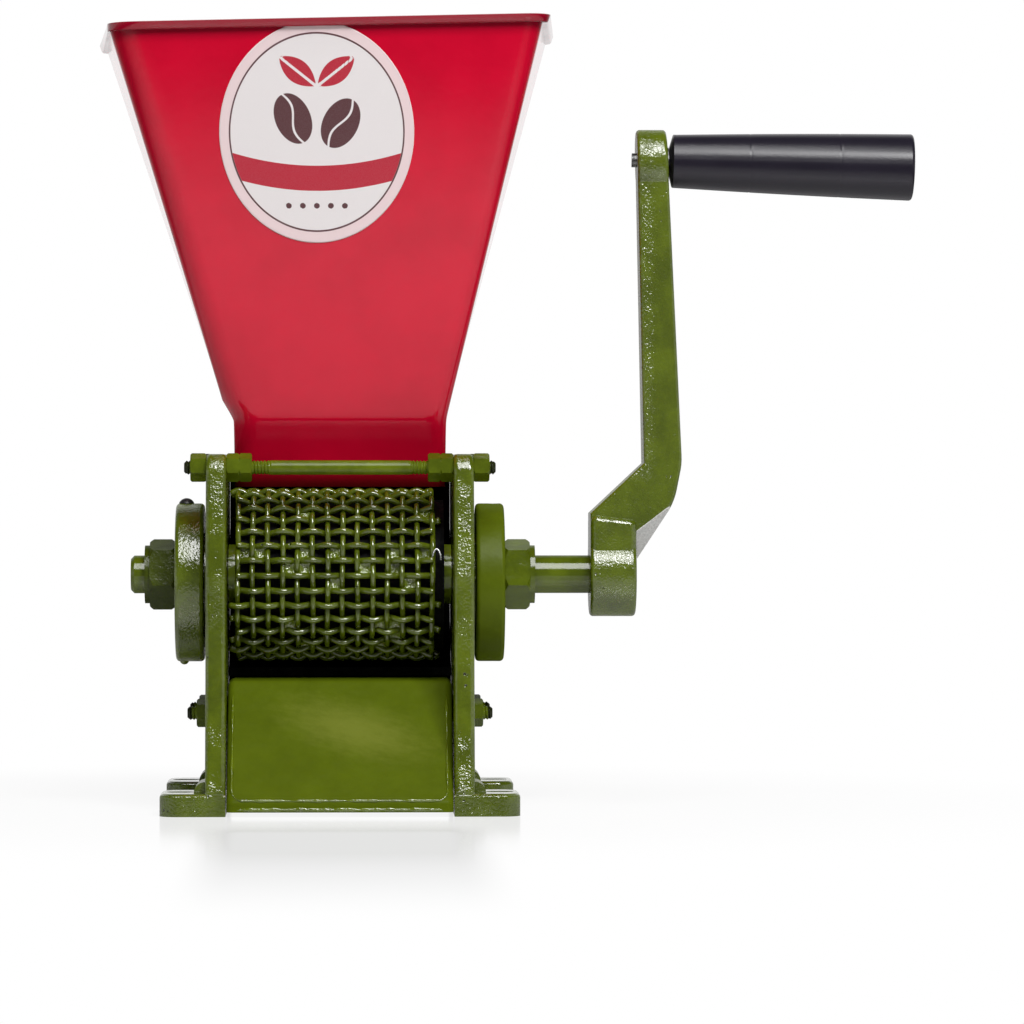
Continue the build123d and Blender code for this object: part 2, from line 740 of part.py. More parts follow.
neck_wall_in = neck_half_width - sheet_thickness
hopper_bolts, hopper_spacers, hopper_nuts = [], [], []
for y in hopper_bolt_ys:
    at = (y, hopper_bolt_height)
    head = Pos(neck_wall_in, *at) * Rot(0, -90, 0) * dome(hopper_head_radius, hopper_head_height)
    bolt_end = plate_out + hopper_nut_thickness + hopper_bolt_overhang
    hopper_bolts.append(head + bar(hopper_bolt_diameter / 2, neck_wall_in, bolt_end, *at))
    bore = hopper_bolt_diameter / 2 + hole_clearance
    hopper_spacers.append(tube(hopper_spacer_radius, bore, neck_half_width, plate_in, *at))
    hopper_nuts.append(
        nut(hopper_nut_flats, hopper_bolt_diameter, plate_out, plate_out + hopper_nut_thickness, *at)
    )
save("hopper_bolts", *both_sides(hopper_bolts))
save("hopper_spacers", *both_sides(hopper_spacers))
save("hopper_nuts", *both_sides(hopper_nuts))


# Crank arm with its set screw

arm_top = spindle_height + arm_boss_radius
arm_bend_height = shaft_height + arm_bend_rise
arm_face_x = arm_top_left + arm_top_thickness
spindle_place = Pos(arm_face_x, 0, spindle_height) * Rot(0, grip_droop, 0)


def crank_screw(clearance=0.0, recess=crank_screw_recess):
    """Set screw from the back of the hub down to the shaft."""
    length = hub_radius - shaft_radius - recess
    screw = Cylinder(
        crank_screw_diameter / 2 + clearance, length, align=(Align.CENTER, Align.CENTER, Align.MIN)
    )
    return Pos((hub_start + hub_end) / 2, shaft_radius, shaft_height) * Rot(-90, 0, 0) * screw


def hub():
    """Round hub of the crank, raised into a block with a sloping top."""
    round_hub = bar(hub_radius, hub_start, hub_end, 0, shaft_height)
    round_hub = fillet(round_hub.edges().filter_by(GeomType.CIRCLE), arm_edge_radius)
    front_view = make_face(
        Polyline(
            (hub_start, shaft_height),
            (hub_start, shaft_height + hub_left_rise),
            (hub_end, shaft_height + hub_right_rise),
            (hub_end, shaft_height),
            close=True,
        )
    )
    block = extrude(Plane.XZ * front_view, amount=hub_block_width / 2, both=True)
    upper_edges = block.edges().filter_by(lambda edge: edge.center().Z > shaft_height + cut_over)
    return round_hub + fillet(upper_edges, hub_block_radius)


def underside_bevel(heel_x, heel_z, root_z):
    """What is cut off the front of the root's underside, from the heel of the bend to the hub."""
    half_width = arm_root_width / 2
    heel = Vector(heel_x, -half_width, heel_z)
    root = Vector(hub_end, 0, root_z)
    root_front = Vector(hub_end, -half_width, root_z + arm_facet_rise)
    outwards = (root - heel).cross(root_front - heel)
    if outwards.Z > 0:
        outwards = -outwards
    bevel = Plane(origin=heel, x_dir=root - heel, z_dir=outwards)
    return extrude(bevel * Rectangle(4 * arm_root_width, 4 * arm_root_width), amount=arm_root_width)


def crank():
    """Slanting root on the hub, upright that thins towards the top, and a round boss for the spindle."""
    root_top = shaft_height + hub_radius + arm_bend_thickness / 2
    root_bottom = root_top - arm_root_thickness
    outer_bend_x = arm_bend_left + arm_bend_thickness
    heel_x = outer_bend_x - arm_heel_inset
    heel_z = arm_bend_height - arm_bend_thickness
    front_view = make_face(
        Polyline(
            (hub_start, shaft_height),
            (hub_start, root_top),
            (arm_bend_left, arm_bend_height),
            (arm_top_left, arm_top),
            (arm_face_x, arm_top),
            (outer_bend_x, arm_bend_height),
            (heel_x, heel_z),
            (hub_end, root_bottom),
            (hub_end, shaft_height),
            close=True,
        )
    )
    bend_corners = front_view.vertices().sort_by(Axis.X)[-2:]
    front_view = fillet(bend_corners, arm_bend_radius)
    side_view = make_face(
        Polyline(
            (-arm_root_width / 2, shaft_height),
            (arm_root_width / 2, shaft_height),
            (arm_top_width / 2, spindle_height),
            (-arm_top_width / 2, spindle_height),
            close=True,
        )
    )
    side_view += Pos(0, spindle_height) * Circle(arm_boss_radius)
    flat_bar = extrude(Plane.XZ * front_view, amount=2 * hub_radius, both=True)
    arm = flat_bar & slab(side_view, hub_start - cut_over, outer_bend_x + cut_over)
    arm = fillet(arm.edges().filter_by(Axis.Y, reverse=True), arm_edge_radius)
    bevel = underside_bevel(heel_x, heel_z, root_bottom)
    arm -= bevel
    arm -= mirror(bevel, about=Plane.XZ)
    arm += hub()
    arm -= bar(shaft_seat, hub_start - cut_over, hub_end + cut_over, 0, shaft_height)
    arm -= crank_screw(seat_clearance, -cut_over)
    reach = 2 * arm_top_thickness
    arm -= spindle_place * bar(spindle_thread_diameter / 2 + seat_clearance, -reach, reach)
    return arm - spindle_place * bar(washer_radius + spot_face_margin, 0, reach)


save("crank_arm", crank())
save("crank_set_screw", crank_screw())


# Grip, its spindle and washer

grip_start = washer_thickness + grip_play
grip_end = grip_start + grip_length
head_start = grip_end - counterbore_depth + grip_play


def grip():
    """Grip that swells outwards, coned towards the arm, with a counterbore for the spindle's head."""
    bore = spindle_diameter / 2 + running_clearance
    section = make_face(
        Polyline(
            (grip_start, bore),
            (grip_start, grip_neck_radius),
            (grip_start + grip_cone_length, grip_inner_radius),
            (grip_end, grip_outer_radius),
            (grip_end, counterbore_radius),
            (grip_end - counterbore_depth, counterbore_radius),
            (grip_end - counterbore_depth, bore),
            close=True,
        )
    )
    body = revolve(section, axis=Axis.X)
    outer_rim = body.edges().filter_by(GeomType.CIRCLE).sort_by(SortBy.RADIUS)[-1]
    return fillet(outer_rim, grip_end_radius)


thread_start = -(arm_top_thickness + spindle_tip)
spindle = bar(spindle_thread_diameter / 2, thread_start, 0)
spindle += bar(spindle_diameter / 2, 0, head_start)
spindle += bar(spindle_head_radius, head_start, head_start + spindle_head_thickness)
washer = tube(washer_radius, spindle_diameter / 2 + seat_clearance, 0, washer_thickness)
save("grip", spindle_place * grip())
save("grip_spindle", spindle_place * spindle)
save("spindle_washer", spindle_place * washer)
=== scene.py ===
import json
from math import cos, pi, radians, sin, tan

import bpy
import numpy as np
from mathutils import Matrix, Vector


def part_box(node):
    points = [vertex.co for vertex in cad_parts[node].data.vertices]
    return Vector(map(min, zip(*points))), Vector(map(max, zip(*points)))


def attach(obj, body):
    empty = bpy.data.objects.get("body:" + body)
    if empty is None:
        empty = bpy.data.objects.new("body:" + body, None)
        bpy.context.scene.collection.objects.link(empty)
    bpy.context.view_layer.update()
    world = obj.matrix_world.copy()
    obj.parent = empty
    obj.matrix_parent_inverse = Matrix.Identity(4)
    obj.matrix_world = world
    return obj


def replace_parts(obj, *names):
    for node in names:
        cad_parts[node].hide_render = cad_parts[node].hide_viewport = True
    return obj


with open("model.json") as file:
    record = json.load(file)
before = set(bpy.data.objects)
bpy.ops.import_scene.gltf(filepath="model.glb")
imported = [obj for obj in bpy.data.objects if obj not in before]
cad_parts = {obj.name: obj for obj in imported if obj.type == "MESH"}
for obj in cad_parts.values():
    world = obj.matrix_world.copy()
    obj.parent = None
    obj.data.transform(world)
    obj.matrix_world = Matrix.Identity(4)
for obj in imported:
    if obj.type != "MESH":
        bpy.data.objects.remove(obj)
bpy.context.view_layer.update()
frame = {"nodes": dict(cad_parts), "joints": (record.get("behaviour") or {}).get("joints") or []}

# Studio
# A white table and backdrop under two soft lamps, in a room that is dim above and behind the camera and
# lighter at both sides. The camera is level with the hopper's neck, to the left of the picture's middle,
# and sees the table fade into the backdrop, with a grey patch in front of the chute that is a painted shadow
# and reflection of the machine.
picture_pixels = 1024
picture_middle = picture_pixels / 2
metres_per_pixel = 0.00045  # at the shaft
eye_pixel = (340, 470)
eye_distance = 2.6
eye_height = 0.1519
sensor_width = 36.0  # millimetres, as the lens

camera_data = bpy.data.cameras.new("camera")
camera_data.sensor_width = sensor_width
camera_data.lens = sensor_width * eye_distance / (picture_pixels * metres_per_pixel)
camera = bpy.data.objects.new("camera", camera_data)
camera.location = (0.0, -eye_distance, eye_height)
aim = Vector((
    (picture_middle - eye_pixel[0]) * metres_per_pixel,
    0.0,
    eye_height - (picture_middle - eye_pixel[1]) * metres_per_pixel,
))
camera.rotation_euler = (aim - camera.location).to_track_quat("-Z", "Y").to_euler()
bpy.context.scene.collection.objects.link(camera)
bpy.context.scene.camera = camera
bpy.context.scene.view_settings.view_transform = "Standard"

lamp_aim = Vector((0.03, 0.0, 0.14))


def soft_lamp(name, place, width, height, power):
    """A rectangular soft lamp that faces the middle of the machine."""
    light = bpy.data.lights.new(name, "AREA")
    light.shape = "RECTANGLE"
    light.size = width
    light.size_y = height
    light.energy = power
    lamp = bpy.data.objects.new(name, light)
    lamp.location = place
    lamp.rotation_euler = (lamp_aim - Vector(place)).to_track_quat("-Z", "Y").to_euler()
    bpy.context.scene.collection.objects.link(lamp)


soft_lamp("right_lamp", place=(0.56, -1.30, 1.35), width=0.45, height=0.50, power=18.5)
soft_lamp("front_lamp", place=(0.03, -1.15, 1.62), width=0.45, height=1.30, power=17.0)


def feed(tree, made, **inputs):
    """Gives a shader node its inputs: numbers, colours or outputs of other nodes. First and second are the
    two inputs of a Math or Mix node, and a space in a socket's name is written as an underscore."""
    pair = {"ShaderNodeMix": (6, 7), "ShaderNodeMixShader": (1, 2)}.get(made.bl_idname, (0, 1))
    places = {"first": pair[0], "second": pair[1]}
    for name, value in inputs.items():
        socket = made.inputs[places.get(name, name.replace("_", " "))]
        if isinstance(value, bpy.types.NodeSocket):
            tree.links.new(value, socket)
        else:
            socket.default_value = value


def node(tree, kind, settings=None, **inputs):
    """Adds a shader node with its settings and inputs."""
    made = tree.nodes.new("ShaderNode" + kind)
    for name, value in (settings or {}).items():
        setattr(made, name, value)
    feed(tree, made, **inputs)
    return made


def reckon(tree, operation, first, second=0.0):
    """Output of a Math node."""
    return node(tree, "Math", {"operation": operation}, first=first, second=second).outputs["Value"]


def smooth(tree, value, start, end, low=0.0, high=1.0):
    """Runs smoothly from low to high while the value goes from start to end."""
    settings = {"interpolation_type": "SMOOTHSTEP"}
    ends = {"From_Min": start, "From_Max": end, "To_Min": low, "To_Max": high}
    return node(tree, "MapRange", settings, Value=value, **ends).outputs["Result"]


def blend(tree, share, first, second):
    """A colour between the first and the second."""
    return node(tree, "Mix", {"data_type": "RGBA"}, Factor=share, first=first, second=second).outputs[2]


def grey(level):
    """A grey of that level, as a colour."""
    return (level, level, level, 1.0)


def new_finish(name):
    """An empty material and its node tree, shader and object coordinates."""
    material = bpy.data.materials.new(name)
    material.use_nodes = True
    tree = material.node_tree
    return material, tree, tree.nodes["Principled BSDF"], node(tree, "TexCoord").outputs["Object"]


studio_dim = 0.05  # the dark room above the table
studio_front = 0.16  # the room at eye level, behind the camera
studio_side = 0.85  # and on both sides
side_start = 0.35  # how far a direction leans sideways where the room begins to be lighter
side_full = 0.85  # and where it is lightest
studio_rise = 0.45  # how far up a direction points where the room has become dark
backdrop_start = 0.45  # how far a direction leans to the back of the table where the backdrop begins
backdrop_full = 0.90  # and where it is white

world = bpy.data.worlds.new("studio")
world.use_nodes = True
bpy.context.scene.world = world
tree = world.node_tree
direction = node(tree, "SeparateXYZ", Vector=node(tree, "TexCoord").outputs["Generated"])
backdrop = smooth(tree, direction.outputs["Y"], backdrop_start, backdrop_full)
in_view = reckon(tree, "MAXIMUM", backdrop, node(tree, "LightPath").outputs["Is Camera Ray"])
sideways = smooth(tree, reckon(tree, "ABSOLUTE", direction.outputs["X"]), side_start, side_full)
eye_level = blend(tree, sideways, grey(studio_front), grey(studio_side))
room = blend(tree, smooth(tree, direction.outputs["Z"], 0.0, studio_rise), eye_level, grey(studio_dim))
feed(tree, tree.nodes["Background"], Color=blend(tree, in_view, room, grey(1.0)))

floor_half = 4.0
table_white = 0.86
table_rough = 0.13
table_end = 0.03  # grey of the floor beyond the table
table_edge = (0.55, 0.82)  # distances between which the table becomes that floor
# The grey patch is a painted shadow and reflection of the machine on the table, seen only by the camera.
shade_middle = 0.0015  # the grey patch in front of the chute
shade_half_width = (0.043, 0.066)  # where it begins to fade sideways, and where it ends
shade_near = (-0.19, -0.12)  # and towards the machine
shade_far = (-0.28, -0.66)  # and towards the camera
shadow_patch_grey = 0.82  # the grey that the camera sees there
glow_shaded = 0.90  # and the share of the table's own look that it covers
glow_round = 0.70  # the share that the backdrop's white covers round the machine
glow_ends = (0.16, 0.42)  # distances between which that white comes to cover all of it

floor_ends = np.array((-floor_half, floor_half))
floor_points = np.stack(np.meshgrid(floor_ends, floor_ends, [0.0], indexing="ij"), axis=-1).reshape(-1, 3)
floor_mesh = bpy.data.meshes.new("table")
floor_mesh.from_pydata(floor_points.tolist(), [], [(0, 2, 3, 1)])
floor = bpy.data.objects.new("table", floor_mesh)
bpy.context.scene.collection.objects.link(floor)

table, tree, shader, place = new_finish("white_table")
x, y, _ = node(tree, "SeparateXYZ", Vector=place).outputs
sideways = reckon(tree, "ABSOLUTE", reckon(tree, "SUBTRACT", x, shade_middle))
shaded = smooth(tree, sideways, *shade_half_width, 1.0, 0.0)
for ends in (shade_near, shade_far):
    shaded = reckon(tree, "MULTIPLY", shaded, smooth(tree, y, *ends, 1.0, 0.0))
away = node(tree, "VectorMath", {"operation": "LENGTH"}, first=place).outputs["Value"]
tabletop = blend(tree, smooth(tree, away, *table_edge), grey(table_white), grey(table_end))
feed(tree, shader, Base_Color=tabletop, Roughness=table_rough)
whitened = smooth(tree, away, *glow_ends, glow_round, 1.0)
glow_share = reckon(tree, "MAXIMUM", whitened, reckon(tree, "MULTIPLY", shaded, glow_shaded))
glow_seen = reckon(tree, "MULTIPLY", glow_share, node(tree, "LightPath").outputs["Is Camera Ray"])
glow_colour = blend(tree, shaded, grey(1.0), grey(shadow_patch_grey))
glow = node(tree, "Emission", Color=glow_colour, Strength=1.0).outputs["Emission"]
surface = node(tree, "MixShader", Fac=glow_seen, first=shader.outputs["BSDF"], second=glow)
feed(tree, tree.nodes["Material Output"], Surface=surface.outputs["Shader"])
floor_mesh.materials.append(table)


# Side plates
# Two sand-cast iron cheeks with foot lugs, bearing pads and bolt holes, dipped in thick green enamel. The
# grain of the sand shows through the paint in patches and breaks up the highlights, and the paint has pooled
# smooth on top of the foot lugs.
foot_top = 0.0100
green_dark = (0.066, 0.092, 0.0025, 1.0)
green_light = (0.106, 0.146, 0.0045, 1.0)
pit_dark = (0.018, 0.022, 0.006, 1.0)
ground_dark = (0.40, 0.40, 0.38, 1.0)
ground_light = (0.80, 0.80, 0.78, 1.0)
grain_per_metre = 950.0
lumps_per_metre = 140.0
mottles_per_metre = 60.0
sandy_per_metre = 38.0
pits_per_metre = 260.0
noise_ends = (0.3, 0.7)  # most of a noise lies between these levels
sandy_ends = (0.40, 0.60)  # levels between which a noise makes a sandy patch
pit_ends = (0.10, 0.22)  # the rim of a pin hole, as shares of the distance between two holes
pit_rise = 0.06  # how much higher than the pitted level the lumps are where the holes are full
pit_depth = 0.0003
paint_rough = (0.4, 0.6)
bare_fade = 0.0006  # width over which the paint ends
rough_fade = 0.0040  # width over which a rough side becomes smooth
ground_edge = 0.0004  # how far off its plane a ground face ends
pool_edge = 0.0010  # how far above or below its level pooled paint ends
skin_ior = 2.2  # of a clear skin that covers only a share of the paint, the shine


def noise(tree, place, per_metre, detail=2.0, rough=0.5):
    """Noise with that many lumps in a metre."""
    made = node(tree, "TexNoise", Vector=place, Scale=per_metre, Detail=detail, Roughness=rough)
    return made.outputs["Fac"]


def bump(tree, height, depth, under=None):
    """A bump of that depth in metres, on top of the one under it."""
    made = node(tree, "Bump", Height=height, Distance=depth)
    if under:
        feed(tree, made, Normal=under)
    return made.outputs["Normal"]


def near(tree, value, level, edge):
    """One where a value is less than half the edge away from a level, and zero from the edge on."""
    off = reckon(tree, "ABSOLUTE", reckon(tree, "SUBTRACT", value, level))
    return smooth(tree, off, edge / 2, edge, 1.0, 0.0)


def sand_share(tree, place, least, corner):
    """Depth of the sand, from a least share to one: in patches or, where the X and Z of a corner are given,
    one on its low X side and above it."""
    if not corner:
        return smooth(tree, noise(tree, place, sandy_per_metre), *sandy_ends, least, 1.0)
    x, _, z = node(tree, "SeparateXYZ", Vector=place).outputs
    beside = smooth(tree, x, corner[0], corner[0] + rough_fade, 1.0, least)
    above = smooth(tree, z, corner[1] - rough_fade, corner[1], least, 1.0)
    return reckon(tree, "MINIMUM", beside, above)


def ground_share(tree, place, face):
    """One on a flat face that is given by three points, from the second one's X on, and on its mirror image
    across Y = 0."""
    corner, second, third = (Vector(point) for point in face)
    outwards = (second - corner).cross(third - corner).normalized()
    x, y, z = node(tree, "SeparateXYZ", Vector=place).outputs
    front = reckon(tree, "MULTIPLY", reckon(tree, "ABSOLUTE", y), -1.0)
    mirrored = node(tree, "CombineXYZ", X=x, Y=front, Z=z).outputs["Vector"]
    height = node(tree, "VectorMath", {"operation": "DOT_PRODUCT"}, first=mirrored, second=outwards)
    on_plane = near(tree, height.outputs["Value"], outwards.dot(corner), ground_edge)
    return reckon(tree, "MULTIPLY", on_plane, reckon(tree, "GREATER_THAN", x, second.x))


def green_enamel(
    name, sand_depth, lump_depth, skin_rough, pitted, shade=1.0, shine=0.32, mottle=0.34, bare_beyond=None,
    least_sand=1.0, rough_corner=None, pooled_at=None, ground_face=None,
):
    """Green enamel: a mottled colour times the shade, under a clear skin. Lumps of about 7 mm are in the bump
    of both, and a sandy grain of about 1 mm is in the skin's alone. There are pin holes where the lumps are
    higher than the pitted level. The skin is whole and smooth at the height of pooled paint. The metal is
    dark beyond a distance from X = 0, and light grey on a ground face."""
    material, tree, shader, place = new_finish(name)
    x, _, z = node(tree, "SeparateXYZ", Vector=place).outputs
    grain = noise(tree, place, grain_per_metre, detail=1.0)
    lumps = noise(tree, place, lumps_per_metre)
    mottles = noise(tree, place, mottles_per_metre, detail=5.0, rough=0.65)
    holes = node(tree, "TexVoronoi", Vector=place, Scale=pits_per_metre).outputs["Distance"]
    pit = smooth(tree, holes, *pit_ends, 1.0, 0.0)
    pit = reckon(tree, "MULTIPLY", pit, smooth(tree, lumps, pitted, pitted + pit_rise))
    greens = [(*(shade * level for level in green[:3]), 1.0) for green in (green_dark, green_light)]
    colour = blend(tree, smooth(tree, mottles, 0.5 - mottle / 2, 0.5 + mottle / 2), *greens)
    colour = blend(tree, pit, colour, pit_dark)
    if bare_beyond:
        bare = smooth(tree, reckon(tree, "ABSOLUTE", x), bare_beyond, bare_beyond + bare_fade)
        colour = blend(tree, bare, colour, pit_dark)
    if ground_face:
        ground = ground_share(tree, place, ground_face)
        colour = blend(tree, ground, colour, blend(tree, grain, ground_dark, ground_light))
    sandy = sand_share(tree, place, least_sand, rough_corner)
    cover = shine
    if pooled_at:
        pooled = near(tree, z, pooled_at, pool_edge)
        sandy = reckon(tree, "MULTIPLY", sandy, reckon(tree, "SUBTRACT", 1.0, pooled))
        cover = smooth(tree, pooled, 0.0, 1.0, shine, 1.0)
    body = bump(tree, pit, -pit_depth, under=bump(tree, lumps, lump_depth))
    feed(
        tree, shader, Base_Color=colour, Specular_IOR_Level=0.0, Normal=body,
        Roughness=smooth(tree, mottles, *noise_ends, *paint_rough),
        Coat_Weight=cover, Coat_Roughness=skin_rough, Coat_IOR=skin_ior,
        Coat_Normal=bump(tree, reckon(tree, "MULTIPLY", grain, sandy), sand_depth, under=body),
    )
    return material


def dress(material, *names):
    """Gives CAD nodes a finish."""
    for name in names:
        mesh = frame["nodes"][name].data
        mesh.materials.clear()
        mesh.materials.append(material)


plate_enamel = green_enamel(
    "green_plate_enamel", sand_depth=0.00050, lump_depth=0.0005, skin_rough=0.13, pitted=0.60, shine=0.50,
    least_sand=0.15, pooled_at=foot_top,
)
dress(plate_enamel, "left_side_plate", "right_side_plate")


# Tie rods and nuts
# Quarter inch rods with a cut thread at both ends, painted with the machine once the nuts are tight.
# The thread runs out towards the plain middle of the rod, and the cut ends outside the nuts stay dark.
thread_pitch = 0.0015
thread_depth = 0.0006
thread_share = 0.56  # of each half of the rod
thread_run_out = 1.5  # turns
rod_sides = 28
steps_per_pitch = 8


def grid_faces(rows, columns, round_rows=False, round_columns=False):
    """Quads of a grid of points numbered row by row. A round direction joins its last line to its first."""
    row = np.arange(rows if round_rows else rows - 1)
    column = np.arange(columns if round_columns else columns - 1)
    row, column = np.meshgrid(row, column, indexing="ij")
    next_row, next_column = (row + 1) % rows, (column + 1) % columns
    corners = (
        row * columns + column,
        row * columns + next_column,
        next_row * columns + next_column,
        next_row * columns + column,
    )
    return np.stack(corners, axis=-1).reshape(-1, 4)


def end_caps(rows, columns):
    """The first and the last row of a tube's points, each as one face that closes the tube."""
    ring = np.arange(columns)
    return [ring[::-1], (rows - 1) * columns + ring]


def repeated(faces, count, points):
    """The same faces for each of a number of like shapes, which have so many points each."""
    return np.concatenate([np.asarray(faces) + index * points for index in range(count)])


def new_piece(name, points, faces, material, body, slot, crease=None):
    """A smooth mesh piece that rides on a body. Edges sharper than the crease, in degrees, stay sharp."""
    mesh = bpy.data.meshes.new(name)
    mesh.from_pydata(points.reshape(-1, 3).tolist(), [], [list(face) for face in faces])
    mesh.polygons.foreach_set("use_smooth", np.ones(len(faces), bool))
    if crease:
        mesh.set_sharp_from_angle(angle=radians(crease))
    mesh.materials.append(material)
    piece = bpy.data.objects.new(name, mesh)
    bpy.context.scene.collection.objects.link(piece)
    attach(piece, body)
    return piece


def threaded_rod(low, high):
    """Round rod along X: its radius, less the thread's depth times a triangle wave of the pitches along the
    rod less the turns round it. The depth fades out over the last turns before the plain shank, and a cone
    ends the rod."""
    radius = (high[2] - low[2]) / 2
    half = (high[0] - low[0]) / 2
    middle = (low + high) / 2
    step = thread_pitch / steps_per_pitch
    x = np.arange(-half, half + step / 2, step)
    angle = np.arange(rod_sides) * 2 * pi / rod_sides
    turn = x[:, None] / thread_pitch - angle / (2 * pi)
    wave = np.abs(2 * (turn % 1.0) - 1)
    shank = half * (1 - thread_share)
    fade = np.clip((np.abs(x) - shank) / (thread_run_out * thread_pitch), 0, 1)[:, None]
    cone = radius - 2 * thread_depth + (half - np.abs(x))[:, None]
    r = np.minimum(radius - thread_depth * fade * wave, cone)
    x = np.broadcast_to(middle[0] + x[:, None], r.shape)
    points = np.stack([x, middle[1] + r * np.cos(angle), middle[2] + r * np.sin(angle)], axis=-1)
    return points, [*grid_faces(*r.shape, round_columns=True), *end_caps(*r.shape)]


nut_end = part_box("top_rod_nuts")[1].x
# The rods' green is a fifth lighter than the paint's: a painted highlight.
lit_rod_enamel = green_enamel(
    "green_lit_rod_enamel", sand_depth=0.00002, lump_depth=0.0001, skin_rough=0.22, pitted=0.74, shade=1.2,
    shine=0.14, bare_beyond=nut_end,
)
for rod in ("top_front_tie_rod", "top_rear_tie_rod", "chute_rod", "lower_rear_tie_rod"):
    points, faces = threaded_rod(*(np.array(end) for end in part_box(rod)))
    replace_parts(new_piece("threaded_" + rod, points, faces, lit_rod_enamel, "frame", "green_steel"), rod)

steel_enamel = green_enamel(
    "green_brushed_enamel", sand_depth=0.00005, lump_depth=0.0003, skin_rough=0.12, pitted=0.68,
)
dress(steel_enamel, "top_rod_nuts", "top_rod_jam_nuts", "lower_rod_nuts", "lower_rod_jam_nuts")


# Eccentric bearings
# A cast flange stands outside each plate and holds a bronze bush off its middle, so that turning both
# flanges sets the drum nearer to the breaker. The left one has a black rubber plug in its oil hole, and a
# drop of paint has dried at its lowest point.
cast_enamel = green_enamel(
    "green_cast_enamel", sand_depth=0.00020, lump_depth=0.0002, skin_rough=0.12, pitted=0.62, shine=0.56,
)
smooth_enamel = green_enamel(
    "green_smooth_enamel", sand_depth=0.00003, lump_depth=0.0003, skin_rough=0.36, pitted=0.80, shade=1.02,
    shine=0.06, mottle=1.2,
)
dress(cast_enamel, "left_bearing_flange")
dress(smooth_enamel, "right_bearing_flange")
flange_low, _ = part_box("left_bearing_flange")
drop_inset = 0.0036  # from the flange's outer face
drop_root = 0.0006  # above the flange's lowest point
drop_radius = 0.0021
drop_length = 0.0020
drop_tip = 0.96  # share of a quarter turn at which the tip is closed
drop_steps = 12
drop_sides = 20


def round_path(path, radius, sides, across):
    """Tube along a path of points, with its own radius at each point and round sections square to the path,
    which are set out from the direction across."""
    ahead = np.gradient(path, axis=0)
    ahead /= np.linalg.norm(ahead, axis=1, keepdims=True)
    first = np.cross(across, ahead)
    first /= np.linalg.norm(first, axis=1, keepdims=True)
    second = np.cross(ahead, first)
    angle = (np.arange(sides) * 2 * pi / sides)[None, :, None]
    ring = np.cos(angle) * first[:, None] + np.sin(angle) * second[:, None]
    points = path[:, None] + radius[:, None, None] * ring
    return points, [*grid_faces(*points.shape[:2], round_columns=True), *end_caps(*points.shape[:2])]


def paint_drop():
    """Half an oval that hangs from the flange: through a quarter turn its depth goes with the sine and its
    radius with the cosine."""
    turn = np.linspace(0.0, drop_tip, drop_steps) * pi / 2
    z = flange_low.z + drop_root - drop_length * np.sin(turn)
    path = np.stack([np.full_like(z, flange_low.x + drop_inset), np.zeros_like(z), z], axis=1)
    return round_path(path, drop_radius * np.cos(turn), drop_sides, (1.0, 0.0, 0.0))


new_piece("flange_paint_drop", *paint_drop(), cast_enamel, "left_bearing", "green_casting")

bronze_dark = (0.16, 0.085, 0.03, 1.0)
bronze_light = (0.52, 0.32, 0.12, 1.0)
stain_ends = (0.35, 0.65)  # levels of a noise between which bare metal is stained
turning_stretch = (40.0, 1.0, 1.0)  # packs a noise along X, so that its marks go round the shaft

bronze, tree, shader, place = new_finish("oiled_bronze")
stain = noise(tree, place, per_metre=180.0, detail=4.0)
turning = node(tree, "Mapping", Vector=place, Scale=turning_stretch).outputs["Vector"]
feed(
    tree, shader, Metallic=1.0,
    Base_Color=blend(tree, smooth(tree, stain, *stain_ends), bronze_dark, bronze_light),
    Roughness=smooth(tree, stain, *noise_ends, low=0.45, high=0.25),
    Normal=bump(tree, noise(tree, turning, per_metre=60.0), depth=0.00003),
)
dress(bronze, "left_bearing_bush", "right_bearing_bush")

rubber_black = grey(0.006)
rubber_dusty = grey(0.022)

rubber, tree, shader, place = new_finish("black_rubber")
dust = noise(tree, place, per_metre=500.0, detail=4.0)
feed(
    tree, shader,
    Base_Color=blend(tree, dust, rubber_black, rubber_dusty),
    Roughness=smooth(tree, dust, *noise_ends, low=0.30, high=0.50),
    Normal=bump(tree, dust, depth=0.00006),
)
dress(rubber, "left_oil_plug")


# Breaker plate
# A curved iron casting behind and under the drum, against which the coffee is rubbed. It is bare and dark
# from use, and its dark is deepened to nearly black as painted shade. Painted bolts through both plates hold
# it.
# Both greys are far darker than iron: its own dark, deepened as painted shade.
iron_shade_black = grey(0.0005)
iron_worn_shade = grey(0.0025)

dark_iron, tree, shader, place = new_finish("dark_iron")
scale = noise(tree, place, per_metre=220.0, detail=6.0, rough=0.65)
feed(
    tree, shader, Specular_IOR_Level=0.08,
    Base_Color=blend(tree, smooth(tree, scale, *noise_ends), iron_shade_black, iron_worn_shade),
    Roughness=smooth(tree, scale, *noise_ends, low=0.75, high=0.50),
    Normal=bump(tree, scale, depth=0.0004),
)
dress(dark_iron, "breaker_plate")
dress(steel_enamel, "breaker_bolts")


